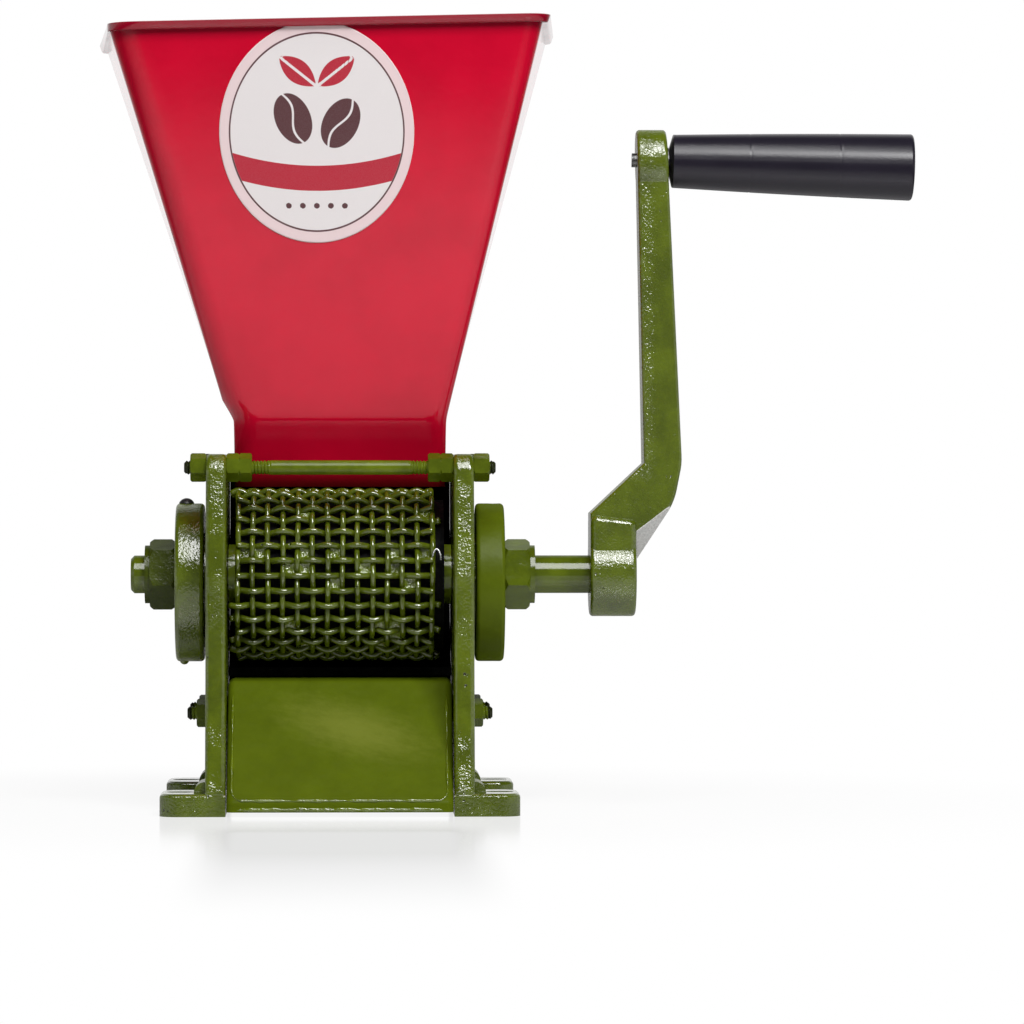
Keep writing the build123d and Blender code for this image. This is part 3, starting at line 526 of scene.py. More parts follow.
# Drum
# A dark iron core between two end discs, pinned to the shaft and wrapped in crimped wire cloth, whose wires
# pass over and under each other. The core's dark is deepened to nearly black as painted shade. Paint has dried
# in webs across some of the meshes, and the end of one wire has sprung out. Collars with zinc-plated screws
# keep the drum in its place.
dress(dark_iron, "drum_core", "drum_end_discs")
shaft_height = sum(end.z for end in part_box("drum_core")) / 2
bar_radius = 0.00142
hoop_radius = 0.00122
wire_pitch = 0.00665
wire_sides = 10
steps_per_mesh = 8
bar_count = 34
hoop_count = 14
hoop_drift = 0.00022  # how far a hoop wanders along the drum
drift_waves = 3  # in one turn
drift_step = 1.9  # radians from one hoop to the next
hoop_inset = 0.00140  # of the outermost hoops' middles
crimp = (bar_radius + hoop_radius) / 2
hoop_low, hoop_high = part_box("wire_cloth_hoops")
cloth_radius = hoop_high.y - crimp - hoop_radius
bar_trim = 0.0030  # how much shorter most bars are than the longest, at each end
bar_lean = 0.0008  # how far the slanting end of a bar reaches beyond its path
bar_seed = 3
long_bar_share = 0.35
short_bars = (16, 17, 18)  # in front of the shaft
bar_low, bar_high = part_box("wire_cloth_bars")
hoop_places = np.linspace(hoop_low.x + hoop_inset, hoop_high.x - hoop_inset, hoop_count)
section = np.arange(wire_sides) * 2 * pi / wire_sides


def round_drum(x, radial, sideways, angle):
    """Points at a distance from the shaft's axis and sideways of it, turned by an angle about the shaft."""
    y = radial * np.cos(angle) - sideways * np.sin(angle)
    z = shaft_height + radial * np.sin(angle) + sideways * np.cos(angle)
    return np.stack(np.broadcast_arrays(x, y, z), axis=-1)


def cloth_hoops():
    """Wires round the drum: the path's radius is the cloth's plus or minus the crimp times the cosine of half
    the bars' phase, the sign changing from hoop to hoop, with a round section square to the path."""
    rows = bar_count * steps_per_mesh
    angle = (np.arange(rows) * 2 * pi / rows)[None, :, None]
    index = np.arange(hoop_count)[:, None, None]
    phase = bar_count / 2 * angle
    sign = (-1.0) ** index
    path = cloth_radius + crimp * sign * np.cos(phase)
    slope = -crimp * sign * bar_count / 2 * np.sin(phase)
    length = np.hypot(path, slope)
    out = hoop_radius * np.cos(section)
    drift = hoop_drift * np.sin(drift_waves * angle + drift_step * index)
    x = hoop_places[:, None, None] + drift - hoop_radius * np.sin(section)
    points = round_drum(x, path + out * path / length, -out * slope / length, angle)
    faces = grid_faces(rows, wire_sides, round_rows=True, round_columns=True)
    return points, repeated(faces, hoop_count, rows * wire_sides)


def cloth_bars():
    """Wires along the drum: the path's radius is the cloth's plus or minus the crimp times a cosine with two
    hoop pitches to the wave, opposite to the hoops, with a round section square to the path."""
    rows = int((bar_high.x - bar_low.x) / wire_pitch * steps_per_mesh)
    index = np.arange(bar_count)[:, None, None]
    trim = bar_trim * (np.random.default_rng(bar_seed).random((2, bar_count, 1, 1)) > long_bar_share)
    trim[:, short_bars] = bar_trim
    start, end = bar_low.x + bar_lean + trim[0], bar_high.x - bar_lean - trim[1]
    x = start + (end - start) * np.linspace(0, 1, rows)[None, :, None]
    angle = index * 2 * pi / bar_count
    phase = pi * (x - hoop_places[0]) / wire_pitch
    sign = -((-1.0) ** index)
    path = cloth_radius + crimp * sign * np.cos(phase)
    slope = -crimp * sign * pi / wire_pitch * np.sin(phase)
    length = np.hypot(1.0, slope)
    out = bar_radius * np.cos(section)
    points = round_drum(x - out * slope / length, path + out / length, bar_radius * np.sin(section), angle)
    sides = repeated(grid_faces(rows, wire_sides, round_columns=True), bar_count, rows * wire_sides)
    caps = repeated(end_caps(rows, wire_sides), bar_count, rows * wire_sides)
    return points, [*sides, *caps]


# The wires' green is a tenth darker than the paint's: painted shade.
shaded_wire_enamel = green_enamel(
    "green_shaded_wire_enamel", sand_depth=0.00012, lump_depth=0.0008, skin_rough=0.18, pitted=0.60, shade=0.90,
    shine=0.62,
)
# The webs' green is half again as light as the paint's: a painted highlight.
lit_web_enamel = green_enamel(
    "green_lit_web_enamel", sand_depth=0.00070, lump_depth=0.0012, skin_rough=0.12, pitted=0.80, shade=1.5,
    shine=0.90,
)
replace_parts(new_piece("woven_hoops", *cloth_hoops(), shaded_wire_enamel, "drum", "green_steel"), "wire_cloth_hoops")
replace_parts(new_piece("woven_bars", *cloth_bars(), shaded_wire_enamel, "drum", "green_steel"), "wire_cloth_bars")

# The meshes filled by paint: hoop and bar that each web starts from.
front_webs = [(0, 15), (4, 15), (4, 16), (6, 15), (8, 16), (10, 15), (10, 16), (12, 15), (3, 20), (9, 22)]
other_webs = 40
web_seed = 7
web_points = 9
web_sink = 0.0017
web_thickness = 0.0003


def paint_webs():
    """Film of paint across a mesh: a patch between two hoops and two bars whose radius sinks below the middle
    of the cloth by one less the square of the nearer edge's share."""
    pick = np.random.default_rng(web_seed)
    hoops = pick.integers(0, hoop_count - 1, other_webs)
    bars = pick.integers(0, bar_count, other_webs)
    start = np.concatenate([front_webs, np.stack([hoops, bars], axis=1)])
    share = np.linspace(0, 1, web_points)
    round_way, across = np.meshgrid(share, share, indexing="ij")
    edge = np.maximum(np.abs(2 * across - 1), np.abs(2 * round_way - 1)) ** 2
    x = hoop_places[start[:, 0]][:, None, None] + wire_pitch * across
    angle = (start[:, 1][:, None, None] + round_way) * 2 * pi / bar_count
    points = round_drum(x, cloth_radius - web_sink * (1 - edge), 0.0, angle)
    return points, repeated(grid_faces(web_points, web_points), len(start), web_points**2)


webs = new_piece("cloth_paint_webs", *paint_webs(), lit_web_enamel, "drum", "green_steel")
thicken = webs.modifiers.new("paint_thickness", "SOLIDIFY")
thicken.thickness = web_thickness

hook_middle = 0.0429
hook_half_width = 0.0019
hook_rise = 0.0048
hook_foot = 0.0070  # above the shaft
hook_wire_radius = 0.00045
hook_stand_off = 0.0014  # from the middle of the cloth
hook_steps = 25
hook_sides = 10


def loose_wire():
    """The end of a wire that has sprung out: half an oval on the round of the drum."""
    turn = np.linspace(0.0, pi, hook_steps)
    height = hook_foot + hook_rise * np.sin(turn)
    radial = cloth_radius + hook_stand_off
    x = hook_middle + hook_half_width * np.cos(turn)
    path = round_drum(x, radial, 0.0, pi - np.arcsin(height / radial))
    return round_path(path, np.full(hook_steps, hook_wire_radius), hook_sides, (0.0, 1.0, 0.0))


wire_grey = grey(0.50)
wire_bright = grey(0.72)

bright_wire, tree, shader, place = new_finish("bright_wire")
drawn = noise(tree, place, per_metre=1800.0, detail=3.0)
feed(
    tree, shader, Metallic=1.0,
    Base_Color=blend(tree, drawn, wire_grey, wire_bright),
    Roughness=smooth(tree, drawn, *noise_ends, low=0.20, high=0.34),
    Normal=bump(tree, drawn, depth=0.00002),
)
new_piece("loose_wire_end", *loose_wire(), bright_wire, "drum", "bare_steel")

dress(steel_enamel, "right_shaft_collar")
# The left collar's green is half as light as the paint's: painted shade.
shaded_collar_enamel = green_enamel(
    "green_shaded_collar_enamel", sand_depth=0.00010, lump_depth=0.0003, skin_rough=0.24, pitted=0.66, shade=0.5,
    shine=0.18,
)
dress(shaded_collar_enamel, "left_shaft_collar")
shaft_enamel = green_enamel(
    "green_shaft_enamel", sand_depth=0.00001, lump_depth=0.00005, skin_rough=0.12, pitted=0.76,
)
dress(shaft_enamel, "drum_shaft")
# The thrust collars' green is over three times as light as the paint's: painted light.
lit_collar_enamel = green_enamel(
    "green_lit_collar_enamel", sand_depth=0.00004, lump_depth=0.0002, skin_rough=0.16, pitted=0.74, shade=3.2,
)
dress(lit_collar_enamel, "thrust_collars")

zinc_dark = (0.36, 0.37, 0.38, 1.0)
zinc_light = (0.62, 0.62, 0.60, 1.0)
scratch_stretch = (1.0, 1.0, 9.0)  # packs a noise upwards, so that scratches lie level

zinc, tree, shader, place = new_finish("zinc_plate")
stain = noise(tree, place, per_metre=160.0, detail=5.0)
scratched = node(tree, "Mapping", Vector=place, Scale=scratch_stretch).outputs["Vector"]
feed(
    tree, shader, Metallic=1.0,
    Base_Color=blend(tree, smooth(tree, stain, *stain_ends), zinc_dark, zinc_light),
    Roughness=smooth(tree, stain, *noise_ends, low=0.42, high=0.26),
    Normal=bump(tree, noise(tree, scratched, per_metre=900.0, detail=3.0), depth=0.00003),
)
dress(zinc, "drum_pins", "collar_set_screws")


# Hopper
# A funnel of folded sheet with rounded corners, a hem rolled outwards round the rim and a neck that goes
# down between the plates, its front sloping back to the drum. It is sprayed with glossy red enamel and held
# by zinc-plated bolts with spacers.
neck_half_width = 0.0475
neck_front = -0.0162
throat_front = 0.0020  # at the bottom of the neck
neck_back = 0.0410
neck_bottom = 0.1444
neck_top = 0.1744
rim_height = 0.3506
rim_front = -0.0604
rim_back = 0.0864
rim_front_half = 0.0951
rim_back_half = 0.1010
rim_shift = -0.0048
rim_lean = radians(1.3)
sheet = 0.0012
hem_width = 0.0026
hem_height = 0.0036
# The hem's outline from its lower edge over the rim to the inner wall: down from the rim, out from the wall.
hem_drops = np.array((1.0, 0.97, 0.85, 0.20, 0.08, 0.0, 0.0, 0.08)) * hem_height
hem_grows = np.array((0.2, 0.45, 0.62, 0.95, 1.0, 0.75, -0.3, -sheet / hem_width)) * hem_width
neck_corner = 0.0070
rim_corner = 0.0085
corner_shares = np.array((1.5, 1.0, 1.0, 1.0))  # the bend at the front left is the widest
corner_starts = np.radians((180.0, 270.0, 0.0, 90.0))  # directions in which the corners' arcs begin
left_spread = 0.0026  # how far the left wall stands out above the neck
left_spread_share = 0.05  # share of the height over which it comes out
bend_softness = 0.012  # share of the funnel's height over which the neck bends into it
bend_stops = (-0.03, -0.02, 0.03, 0.05)  # the neck's last row, the bend's first and last, the wall's first
neck_rows = 8
bend_rows = 9
wall_rows = 36
corner_steps = 8
side_steps = 32
funnel_height = rim_height - neck_top


def widened(up):
    """How far the funnel has widened at a share of its height: nothing in the neck and that share above it,
    with a soft bend, as half of the share plus the root of its square and the softness squared."""
    return (up + np.sqrt(up**2 + bend_softness**2)) / 2


def funnel_section(up, drop, grow):
    """Rounded four-sided sections of the funnel: each corner is a quarter circle, and straight sides join
    them. Up is the share of the height from neck to rim, drop lowers a section from there, and grow moves
    all its sides outwards."""
    wide = widened(up)
    sunk = widened(-up) * funnel_height / (neck_top - neck_bottom)
    front = neck_front + (rim_front - neck_front) * wide + (throat_front - neck_front) * sunk - grow
    back = neck_back + (rim_back - neck_back) * wide + grow
    front_half = neck_half_width + (rim_front_half - neck_half_width) * wide + grow
    back_half = neck_half_width + (rim_back_half - neck_half_width) * wide + grow
    corner = (neck_corner + (rim_corner - neck_corner) * wide)[:, None] * corner_shares + grow[:, None]
    spread = left_spread * np.clip(up / left_spread_share, 0, 1)
    front_left = front_half + np.maximum(spread - np.maximum(grow, 0), 0)
    corner_x = np.stack([-front_left, front_half, back_half, -back_half - spread], 1)
    middle_x = corner_x + corner * (1, -1, -1, 1)
    middle_y = np.stack([front, front, back, back], 1) + corner * (1, 1, -1, -1)
    turn = corner_starts[:, None] + np.linspace(0, pi / 2, corner_steps + 1)
    x = (middle_x[:, :, None] + corner[:, :, None] * np.cos(turn)).reshape(len(up), -1)
    y = (middle_y[:, :, None] + corner[:, :, None] * np.sin(turn)).reshape(len(up), -1)
    straight = np.arange(1, side_steps) / side_steps
    stops = np.concatenate([np.arange(corner_steps + 1), corner_steps + straight])
    stops = np.concatenate([stops + quarter * (corner_steps + 1) for quarter in range(4)])
    before = stops.astype(int)
    after = (before + 1) % x.shape[1]
    part = stops - before
    x = x[:, before] * (1 - part) + x[:, after] * part + rim_shift * wide[:, None]
    y = y[:, before] * (1 - part) + y[:, after] * part
    lean = tan(rim_lean) * (x - rim_shift) * np.clip(up, 0, 1)[:, None]
    z = (neck_top + funnel_height * up - drop)[:, None] + lean
    return np.stack([x, y, z], axis=-1)


def hopper_sheet():
    """The funnel's sections stacked up the outer wall, round the hem and down the inner wall, and closed
    at the neck's lower edge."""
    neck_share = (neck_bottom - neck_top) / funnel_height
    hem_share = 1 - hem_height / funnel_height
    wall = np.concatenate([
        np.linspace(neck_share, bend_stops[0], neck_rows),
        np.linspace(bend_stops[1], bend_stops[2], bend_rows),
        np.linspace(bend_stops[3], hem_share, wall_rows),
    ])
    up = np.concatenate([wall, np.ones(len(hem_drops)), wall[::-1]])
    drop = np.concatenate([0 * wall, hem_drops, 0 * wall])
    grow = np.concatenate([0 * wall, hem_grows, 0 * wall - sheet])
    points = funnel_section(up, drop, grow)
    return points, grid_faces(*points.shape[:2], round_rows=True, round_columns=True)


red_deep = (0.58, 0.0015, 0.024, 1.0)
red_light = (0.68, 0.0025, 0.030, 1.0)
# The darker red of the hem is painted shade, and its fade below the hem a painted shadow.
hem_shade_red = (0.34, 0.0010, 0.018, 1.0)
# The dark red at the foot of the neck, near the drum, is painted shade.
throat_shade_red = (0.14, 0.0040, 0.0060, 1.0)
hem_shadow_fade = 0.0065  # how far below the hem the darker red reaches
throat_shade_fade = 0.0100
neck_dull = 0.0040  # the enamel is dull in the neck, from this far below the bend
neck_shine = 0.10

red_enamel, tree, shader, place = new_finish("red_enamel")
patches = noise(tree, place, per_metre=25.0, detail=4.0)
peel = noise(tree, place, per_metre=420.0)
waves = noise(tree, place, per_metre=14.0, detail=1.0)
x, _, z = node(tree, "SeparateXYZ", Vector=place).outputs
level = reckon(tree, "SUBTRACT", z, reckon(tree, "MULTIPLY", x, tan(rim_lean)))
hem_bottom = rim_height - hem_height - tan(rim_lean) * rim_shift
colour = blend(tree, smooth(tree, patches, *noise_ends), red_deep, red_light)
colour = blend(tree, smooth(tree, level, hem_bottom - hem_shadow_fade, hem_bottom), colour, hem_shade_red)
colour = blend(tree, smooth(tree, z, neck_bottom, neck_bottom + throat_shade_fade), throat_shade_red, colour)
skin = bump(tree, peel, depth=0.00002, under=bump(tree, waves, depth=0.0003))
feed(
    tree, shader, Base_Color=colour, Specular_IOR_Level=0.0, Normal=skin,
    Roughness=smooth(tree, patches, *noise_ends, low=0.40, high=0.34),
    Coat_Weight=smooth(tree, z, neck_top - neck_dull, neck_top + neck_dull, neck_shine, 1.0),
    Coat_Roughness=0.07, Coat_Normal=skin,
)
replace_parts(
    new_piece("hopper_sheet", *hopper_sheet(), red_enamel, "frame", "red_sheet", crease=35), "hopper"
)
dress(zinc, "hopper_bolts", "hopper_spacers")
dress(steel_enamel, "hopper_nuts")


# Label
# An oval paper label pasted on the hopper's front: a thin ring near the edge, two coffee beans under a pair
# of leaves, and a plain ribbon with a row of dots. It follows the sheet and stands off it by its own
# thickness.
label_middle = (-0.0102, 0.3009)
label_half_width = 0.0430
label_half_height = 0.0482
label_stand_off = 0.00015
label_rings = 90
label_spokes = 180
bean_half = (0.0078, 0.0115)
beans = [(-0.0105, 0.0060, radians(24)), (0.0105, 0.0040, radians(-28))]
crease_wave = 0.22  # share of a bean's half width by which its crease swings to both sides
crease_half = 0.0005
leaf_half = (0.0050, 0.0105)
leaves = [(-0.0085, 0.0265, radians(52)), (0.0085, 0.0265, radians(-52))]
vein_half = 0.12  # share of a leaf's half width
ribbon_middle = -0.0200
ribbon_half = 0.0055
ribbon_rise = 4.0  # metres of rise for each square metre from the middle
dot_line = -0.0320
dot_gap = 0.0062
dot_radius = 0.0013
dots_each_side = 2
far_off = 1.0  # a distance beyond any shape


def oval(p, q, middle_p, middle_q, turn, half):
    """Shares across and along an oval turned about its middle: on its edge their squares add up to one."""
    across = (p - middle_p) * cos(turn) + (q - middle_q) * sin(turn)
    along = (q - middle_q) * cos(turn) - (p - middle_p) * sin(turn)
    return across / half[0], along / half[1]


def label_sheet():
    """An oval in rings and spokes, laid on the funnel's front wall, with the distance in metres to the edge
    of each shape of the print: negative inside it."""
    share = np.linspace(0.0, 1.0, label_rings)[:, None]
    angle = (np.arange(label_spokes) * 2 * pi / label_spokes)[None, :]
    p = label_half_width * share * np.cos(angle)
    q = label_half_height * share * np.sin(angle)
    x = label_middle[0] + p
    z = label_middle[1] + q
    up = (z - neck_top) / (funnel_height + tan(rim_lean) * (x - rim_shift))
    y = neck_front + (rim_front - neck_front) * widened(up) - label_stand_off
    points = np.stack([x, y, z], axis=-1)
    bean = np.full(p.shape, far_off)
    crease = np.full(p.shape, far_off)
    for bean_place in beans:
        across, along = oval(p, q, *bean_place, bean_half)
        bean = np.minimum(bean, (np.hypot(across, along) - 1) * bean_half[0])
        off_crease = np.abs(across - crease_wave * np.sin(pi * along)) * bean_half[0]
        crease = np.minimum(crease, off_crease - crease_half)
    leaf = np.full(p.shape, far_off)
    for leaf_place in leaves:
        across, along = oval(p, q, *leaf_place, leaf_half)
        blade = np.maximum(np.abs(across) + along**2 - 1, vein_half - np.abs(across))
        leaf = np.minimum(leaf, blade * leaf_half[0])
    ribbon = np.abs(q - ribbon_middle - ribbon_rise * p**2) - ribbon_half
    nearest = np.clip(np.round(p / dot_gap), -dots_each_side, dots_each_side) * dot_gap
    dots = np.hypot(p - nearest, q - dot_line) - dot_radius
    edge = np.broadcast_to((share - 1.0) * label_half_width, p.shape)
    drawing = {"edge": edge, "bean": bean, "crease": crease, "leaf": leaf, "ribbon": ribbon, "dots": dots}
    return points, grid_faces(*p.shape, round_columns=True), drawing


points, faces, drawing = label_sheet()
paper, tree, shader, place = new_finish("printed_paper")
label = new_piece("hopper_label", points, faces, paper, "frame", "red_sheet")
for shape, distance in drawing.items():
    attribute = label.data.attributes.new(shape, "FLOAT", "POINT")
    attribute.data.foreach_set("value", distance.ravel().astype(np.float32))

paper_white = (0.84, 0.79, 0.79, 1.0)
border_pink = (0.86, 0.68, 0.69, 1.0)
print_red = (0.50, 0.012, 0.035, 1.0)
print_dark = (0.10, 0.030, 0.035, 1.0)
fibre_grey = grey(0.55)
fibre_share = 0.05
ink_edge = 0.0001
ring_outside = -0.0042
ring_inside = -0.0049


def inked(tree, shape, limit=0.0):
    """One inside a printed shape and zero outside it."""
    distance = node(tree, "Attribute", {"attribute_name": shape}).outputs["Fac"]
    return smooth(tree, distance, limit - ink_edge, limit + ink_edge, 1.0, 0.0)


fibre = noise(tree, place, per_metre=2600.0, detail=4.0)
inside = inked(tree, "edge", ring_inside)
ring = reckon(tree, "SUBTRACT", inked(tree, "edge", ring_outside), inside)
creased = reckon(tree, "SUBTRACT", inked(tree, "bean"), inked(tree, "crease"))
colour = blend(tree, inside, border_pink, paper_white)
colour = blend(tree, reckon(tree, "MULTIPLY", inked(tree, "ribbon"), inside), colour, print_red)
colour = blend(tree, inked(tree, "leaf"), colour, print_red)
colour = blend(tree, creased, colour, print_dark)
colour = blend(tree, inked(tree, "dots"), colour, print_dark)
colour = blend(tree, ring, colour, print_dark)
feed(
    tree, shader,
    Base_Color=blend(tree, smooth(tree, fibre, *noise_ends, high=fibre_share), colour, fibre_grey),
    Roughness=smooth(tree, fibre, *noise_ends, low=0.30, high=0.42),
    Normal=bump(tree, fibre, depth=0.00003),
)
thicken = label.modifiers.new("paper_thickness", "SOLIDIFY")
thicken.thickness = label_stand_off


# Chute
# A tray of folded sheet under the drum with turned-down sides and lip, painted with the frame. The paint is
# lighter in a patch in the middle of the slope, which is painted light, and has dried in thin beads along the
# folds and the lip's lower edge.
# The lighter patch in the middle of the slope is painted light.
lit_patch_green = (0.160, 0.190, 0.022, 1.0)
lit_patch_middle = (0.0066, 0.0, 0.0374)
lit_patch_half = (0.042, 1.0, 0.014)
lit_patch_turn = radians(14)
lit_patch_ends = (0.40, 1.50)  # where the lit patch begins to fade and where it ends, in its half sizes
streaks_per_half = 6.0  # in a half size
streak_share = 0.8  # of a half size, by which the streaks move its edge

chute_enamel = green_enamel(
    "green_chute_enamel", sand_depth=0.00003, lump_depth=0.0003, skin_rough=0.36, pitted=0.80, shade=1.02,
    shine=0.02, mottle=1.2,
)
tree = chute_enamel.node_tree
shader = tree.nodes["Principled BSDF"]
place = node(tree, "TexCoord").outputs["Object"]
patch_place = node(
    tree, "Mapping", {"vector_type": "TEXTURE"}, Vector=place, Location=lit_patch_middle,
    Rotation=(0.0, lit_patch_turn, 0.0), Scale=lit_patch_half,
).outputs["Vector"]
streaks = noise(tree, patch_place, streaks_per_half, detail=5.0, rough=0.7)
reach = node(tree, "VectorMath", {"operation": "LENGTH"}, first=patch_place).outputs["Value"]
reach = reckon(tree, "ADD", reach, reckon(tree, "MULTIPLY", streaks, streak_share))
lit_share = smooth(tree, reach, *lit_patch_ends, 1.0, 0.0)
paint = shader.inputs["Base Color"].links[0].from_socket
feed(tree, shader, Base_Color=blend(tree, lit_share, paint, lit_patch_green))
dress(chute_enamel, "chute")
chute_low, chute_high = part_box("chute")
bead_inset = 0.0045  # from the chute's sides
bead_rise = 0.0009  # above the lip's lower edge
bead_back = 0.4  # share of its radius by which the bead's middle lies behind the lip's face
bead_lift = 0.3  # and by which it lies higher
bead_thin = 0.0006
bead_thick = 0.0013
bead_waves = ((610.0, 0.0), (371.0, 1.0), (1130.0, 2.0))  # radians in a metre, and radians at X = 0
bead_taper = 0.0040  # length over which each end tapers
taper_least = 0.02  # square of the share of the radius that is left at an end
bead_steps = 260
bead_sides = 12


def lip_bead():
    """Bead along X whose radius is a mean of three sine waves with unlike lengths, tapered at both ends."""
    x = np.linspace(chute_low.x + bead_inset, chute_high.x - bead_inset, bead_steps)
    waves = sum(np.sin(x * rate + start) for rate, start in bead_waves) / (2 * len(bead_waves)) + 0.5
    nearest_end = np.minimum(x - x[0], x[-1] - x)
    taper = np.sqrt(np.clip(nearest_end / bead_taper, taper_least, 1.0))
    radius = (bead_thin + (bead_thick - bead_thin) * waves) * taper
    y = chute_low.y + bead_back * radius
    z = chute_low.z + bead_rise + bead_lift * radius
    return round_path(np.stack([x, y, z], axis=1), radius, bead_sides, (0.0, 0.0, 1.0))


# The beads' green is a third lighter than the paint's: a painted highlight.
lit_bead_enamel = green_enamel(
    "green_lit_bead_enamel", sand_depth=0.00020, lump_depth=0.0004, skin_rough=0.12, pitted=0.80, shade=1.3,
    shine=0.60,
)
new_piece("chute_paint_bead", *lip_bead(), lit_bead_enamel, "frame", "green_steel")

slope_top = (-0.0260, 0.0581)  # y and z of the chute's upper bend
slope_foot = (-0.0730, 0.0066)
slope_out = (0.0, -0.74, 0.67)  # straight out of the slope
fold_left = -0.0475
fold_right = 0.0472
fold_top = 0.0520
fold_bottom = 0.0072
fold_turn = 0.0045  # radius of the corners
fold_radius = 0.00065
fold_waves = ((47.0, 0.30), (131.0, 0.20))  # radians in the whole length, and share of the radius
fold_taper = 0.03  # share of the length over which each end tapers
fold_side_steps = 50
fold_turn_steps = 12
fold_foot_steps = 120
fold_sides = 10


def rim_bead():
    """Thin bead on the slope: down at the left, round a quarter circle, along the foot, round another quarter
    and up at the right. Each point's y comes from its z by the slope's line, and its radius varies with two
    sine waves."""
    quarter = np.linspace(0, pi / 2, fold_turn_steps)[1:-1]
    side = np.linspace(fold_top, fold_bottom + fold_turn, fold_side_steps)
    foot = np.linspace(fold_left + fold_turn, fold_right - fold_turn, fold_foot_steps)
    inwards = fold_turn * (1 - np.cos(quarter))
    corner = fold_bottom + fold_turn * (1 - np.sin(quarter))
    x = np.concatenate([
        0 * side + fold_left, fold_left + inwards, foot, fold_right - inwards[::-1], 0 * side + fold_right,
    ])
    z = np.concatenate([side, corner, 0 * foot + fold_bottom, corner[::-1], side[::-1]])
    y = np.interp(z, (slope_foot[1], slope_top[1]), (slope_foot[0], slope_top[0]))
    along = np.linspace(0, 1, len(x))
    taper = np.sqrt(np.clip(np.minimum(along, 1 - along) / fold_taper, taper_least, 1.0))
    waves = sum(share * np.sin(rate * along) for rate, share in fold_waves)
    radius = fold_radius * taper * (1 + waves)
    return round_path(np.stack([x, y, z], axis=1), radius, fold_sides, slope_out)


new_piece("chute_rim_bead", *rim_bead(), lit_bead_enamel, "frame", "green_steel")


# Crank
# A cast arm on the end of the shaft, held by a set screw, with a bare steel spindle through its top. It is
# painted with the machine, rough from the sand on the left of its upright and ground bare under its root.
arm_corner = (0.1385, 0.1500)  # x and z where the upright's rough left side ends
# Three points of the flat that is ground bare.
underside = ((0.1500, -0.0135, 0.1378), (0.1328, 0.0, 0.1105), (0.1328, -0.0135, 0.1245))
crank_enamel = green_enamel(
    "green_crank_enamel", sand_depth=0.00045, lump_depth=0.0003, skin_rough=0.19, pitted=0.62, shine=0.56,
    least_sand=0.45, rough_corner=arm_corner, ground_face=underside,
)
dress(crank_enamel, "crank_arm")

steel_dark = grey(0.10)
steel_light = grey(0.30)

dull_steel, tree, shader, place = new_finish("dull_steel")
tarnish = noise(tree, place, per_metre=400.0, detail=4.0)
feed(
    tree, shader, Metallic=1.0,
    Base_Color=blend(tree, smooth(tree, tarnish, *noise_ends), steel_dark, steel_light),
    Roughness=smooth(tree, tarnish, *noise_ends, low=0.50, high=0.30),
    Normal=bump(tree, tarnish, depth=0.00005),
)
dress(dull_steel, "crank_set_screw", "grip_spindle", "spindle_washer")


# Grip
# A moulded black plastic handle that turns on the spindle. It swells outwards, is coned at the arm and has
# a counterbore for the spindle's head. Two mould lines go round it and a fine parting line runs along it.
grip_start = 0.0015  # from the arm's face
grip_length = 0.1100
grip_bore = 0.00405
grip_face_radius = 0.0060
grip_cone = 0.0018
grip_inner_radius = 0.0119
cone_bend = (0.8, 0.965)  # where the cone begins to bend into the body, as shares of its length and radius
grip_outer_radius = 0.0150
grip_barrel = 0.0003  # how far the body bulges beyond a straight cone
grip_end_round = 0.0014
counterbore_radius = 0.0080
counterbore_depth = 0.0090
counterbore_bevel = 0.0004
mould_lines = (0.0365, 0.0770)
mould_line_half = 0.0005
mould_line_depth = 0.00012
parting_height = 0.00010
grip_steps = 220
grip_end_steps = 7
grip_sides = 96


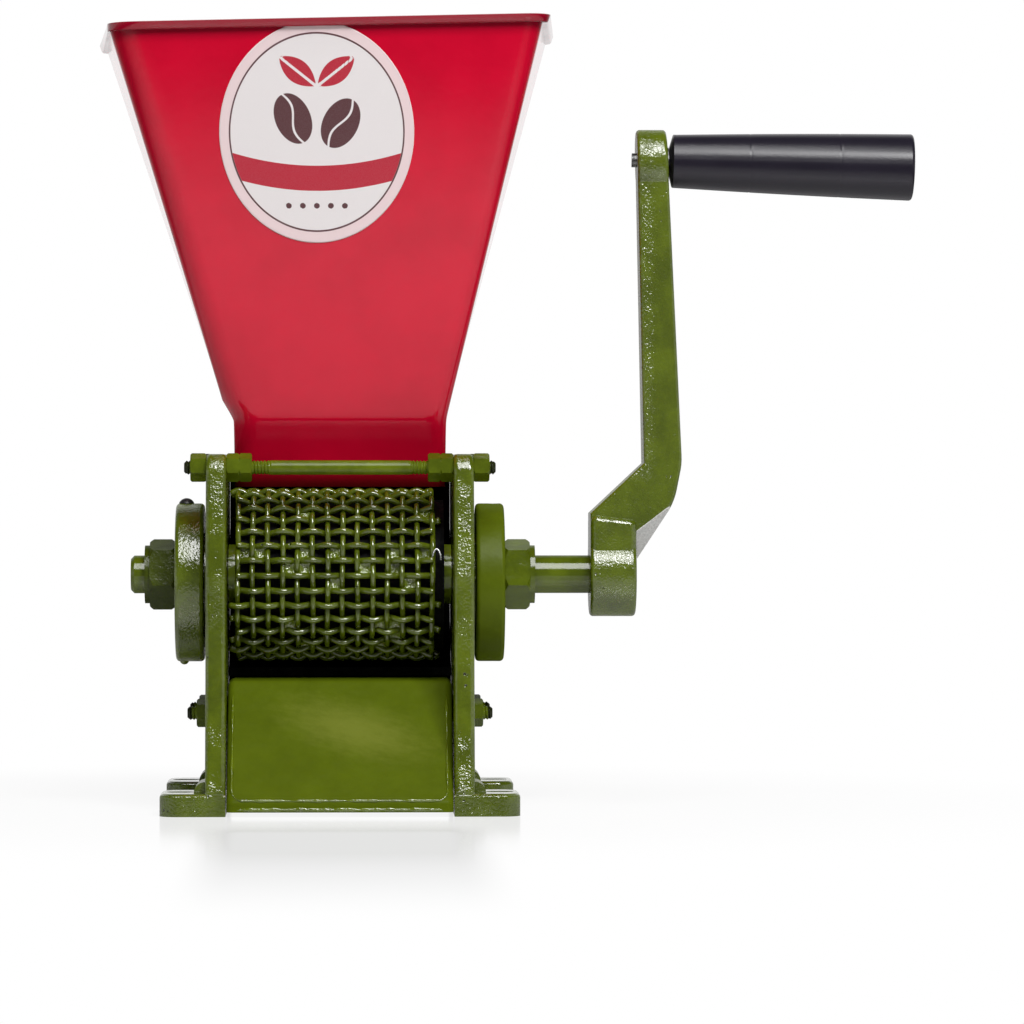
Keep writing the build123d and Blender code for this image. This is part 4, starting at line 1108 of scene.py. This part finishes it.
def grip_profile():
    """Distances along the axis and radii of the grip's outline: in along the bore, out over the cone, along
    the swelling body with its mould lines, round the end and down the counterbore."""
    body = np.linspace(grip_cone, grip_length - grip_end_round, grip_steps)
    share = body / grip_length
    radius = grip_inner_radius + (grip_outer_radius - grip_inner_radius) * share
    radius += grip_barrel * np.sin(pi * share)
    for line in mould_lines:
        radius -= mould_line_depth * np.clip(1 - np.abs(body - line) / mould_line_half, 0, 1)
    quarter = np.linspace(0, pi / 2, grip_end_steps)[1:]
    end_radius = radius[-1] - grip_end_round * (1 - np.cos(quarter))
    end = grip_length - grip_end_round * (1 - np.sin(quarter))
    floor_at = grip_length - counterbore_depth
    along = [
        [floor_at, 0.0, 0.0, grip_cone * cone_bend[0]], body, end,
        [grip_length - counterbore_bevel, floor_at],
    ]
    outline = [
        [grip_bore, grip_bore, grip_face_radius, grip_inner_radius * cone_bend[1]], radius, end_radius,
        [counterbore_radius, counterbore_radius],
    ]
    return np.concatenate(along), np.concatenate(outline)


def moulded_grip(origin, axis):
    """The outline turned about the spindle's axis, with a fine ridge on both sides where the mould parted."""
    along, radius = grip_profile()
    angle = np.arange(grip_sides) * 2 * pi / grip_sides
    outside = radius > grip_inner_radius
    parting = np.isin(np.arange(grip_sides), (0, grip_sides // 2))
    r = radius[:, None] + parting_height * outside[:, None] * parting
    side = np.array((0.0, 1.0, 0.0))
    up = np.cross(axis, side)
    points = origin + (grip_start + along)[:, None, None] * axis
    points = points + (r * np.cos(angle))[..., None] * side + (r * np.sin(angle))[..., None] * up
    return points, grid_faces(*r.shape, round_rows=True, round_columns=True)


grip_joint = next(joint for joint in frame["joints"] if joint["name"] == "grip_spin")
points, faces = moulded_grip(np.array(grip_joint["pos_m"]), np.array(grip_joint["axis"]))

plastic_dark = (0.010, 0.008, 0.015, 1.0)
plastic_light = (0.014, 0.011, 0.021, 1.0)
worn_ends = (0.1, 0.9)  # levels of a noise between which the plastic is worn dull

black_plastic, tree, shader, place = new_finish("black_plastic")
grain = noise(tree, place, per_metre=900.0, detail=3.0)
worn = noise(tree, place, per_metre=50.0, detail=4.0)
feed(
    tree, shader, Specular_IOR_Level=0.42,
    Base_Color=blend(tree, worn, plastic_dark, plastic_light),
    Roughness=smooth(tree, worn, *worn_ends, low=0.28, high=0.33),
    Normal=bump(tree, grain, depth=0.00004),
)
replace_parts(new_piece("moulded_grip", points, faces, black_plastic, "grip", "black_grip", crease=40), "grip")
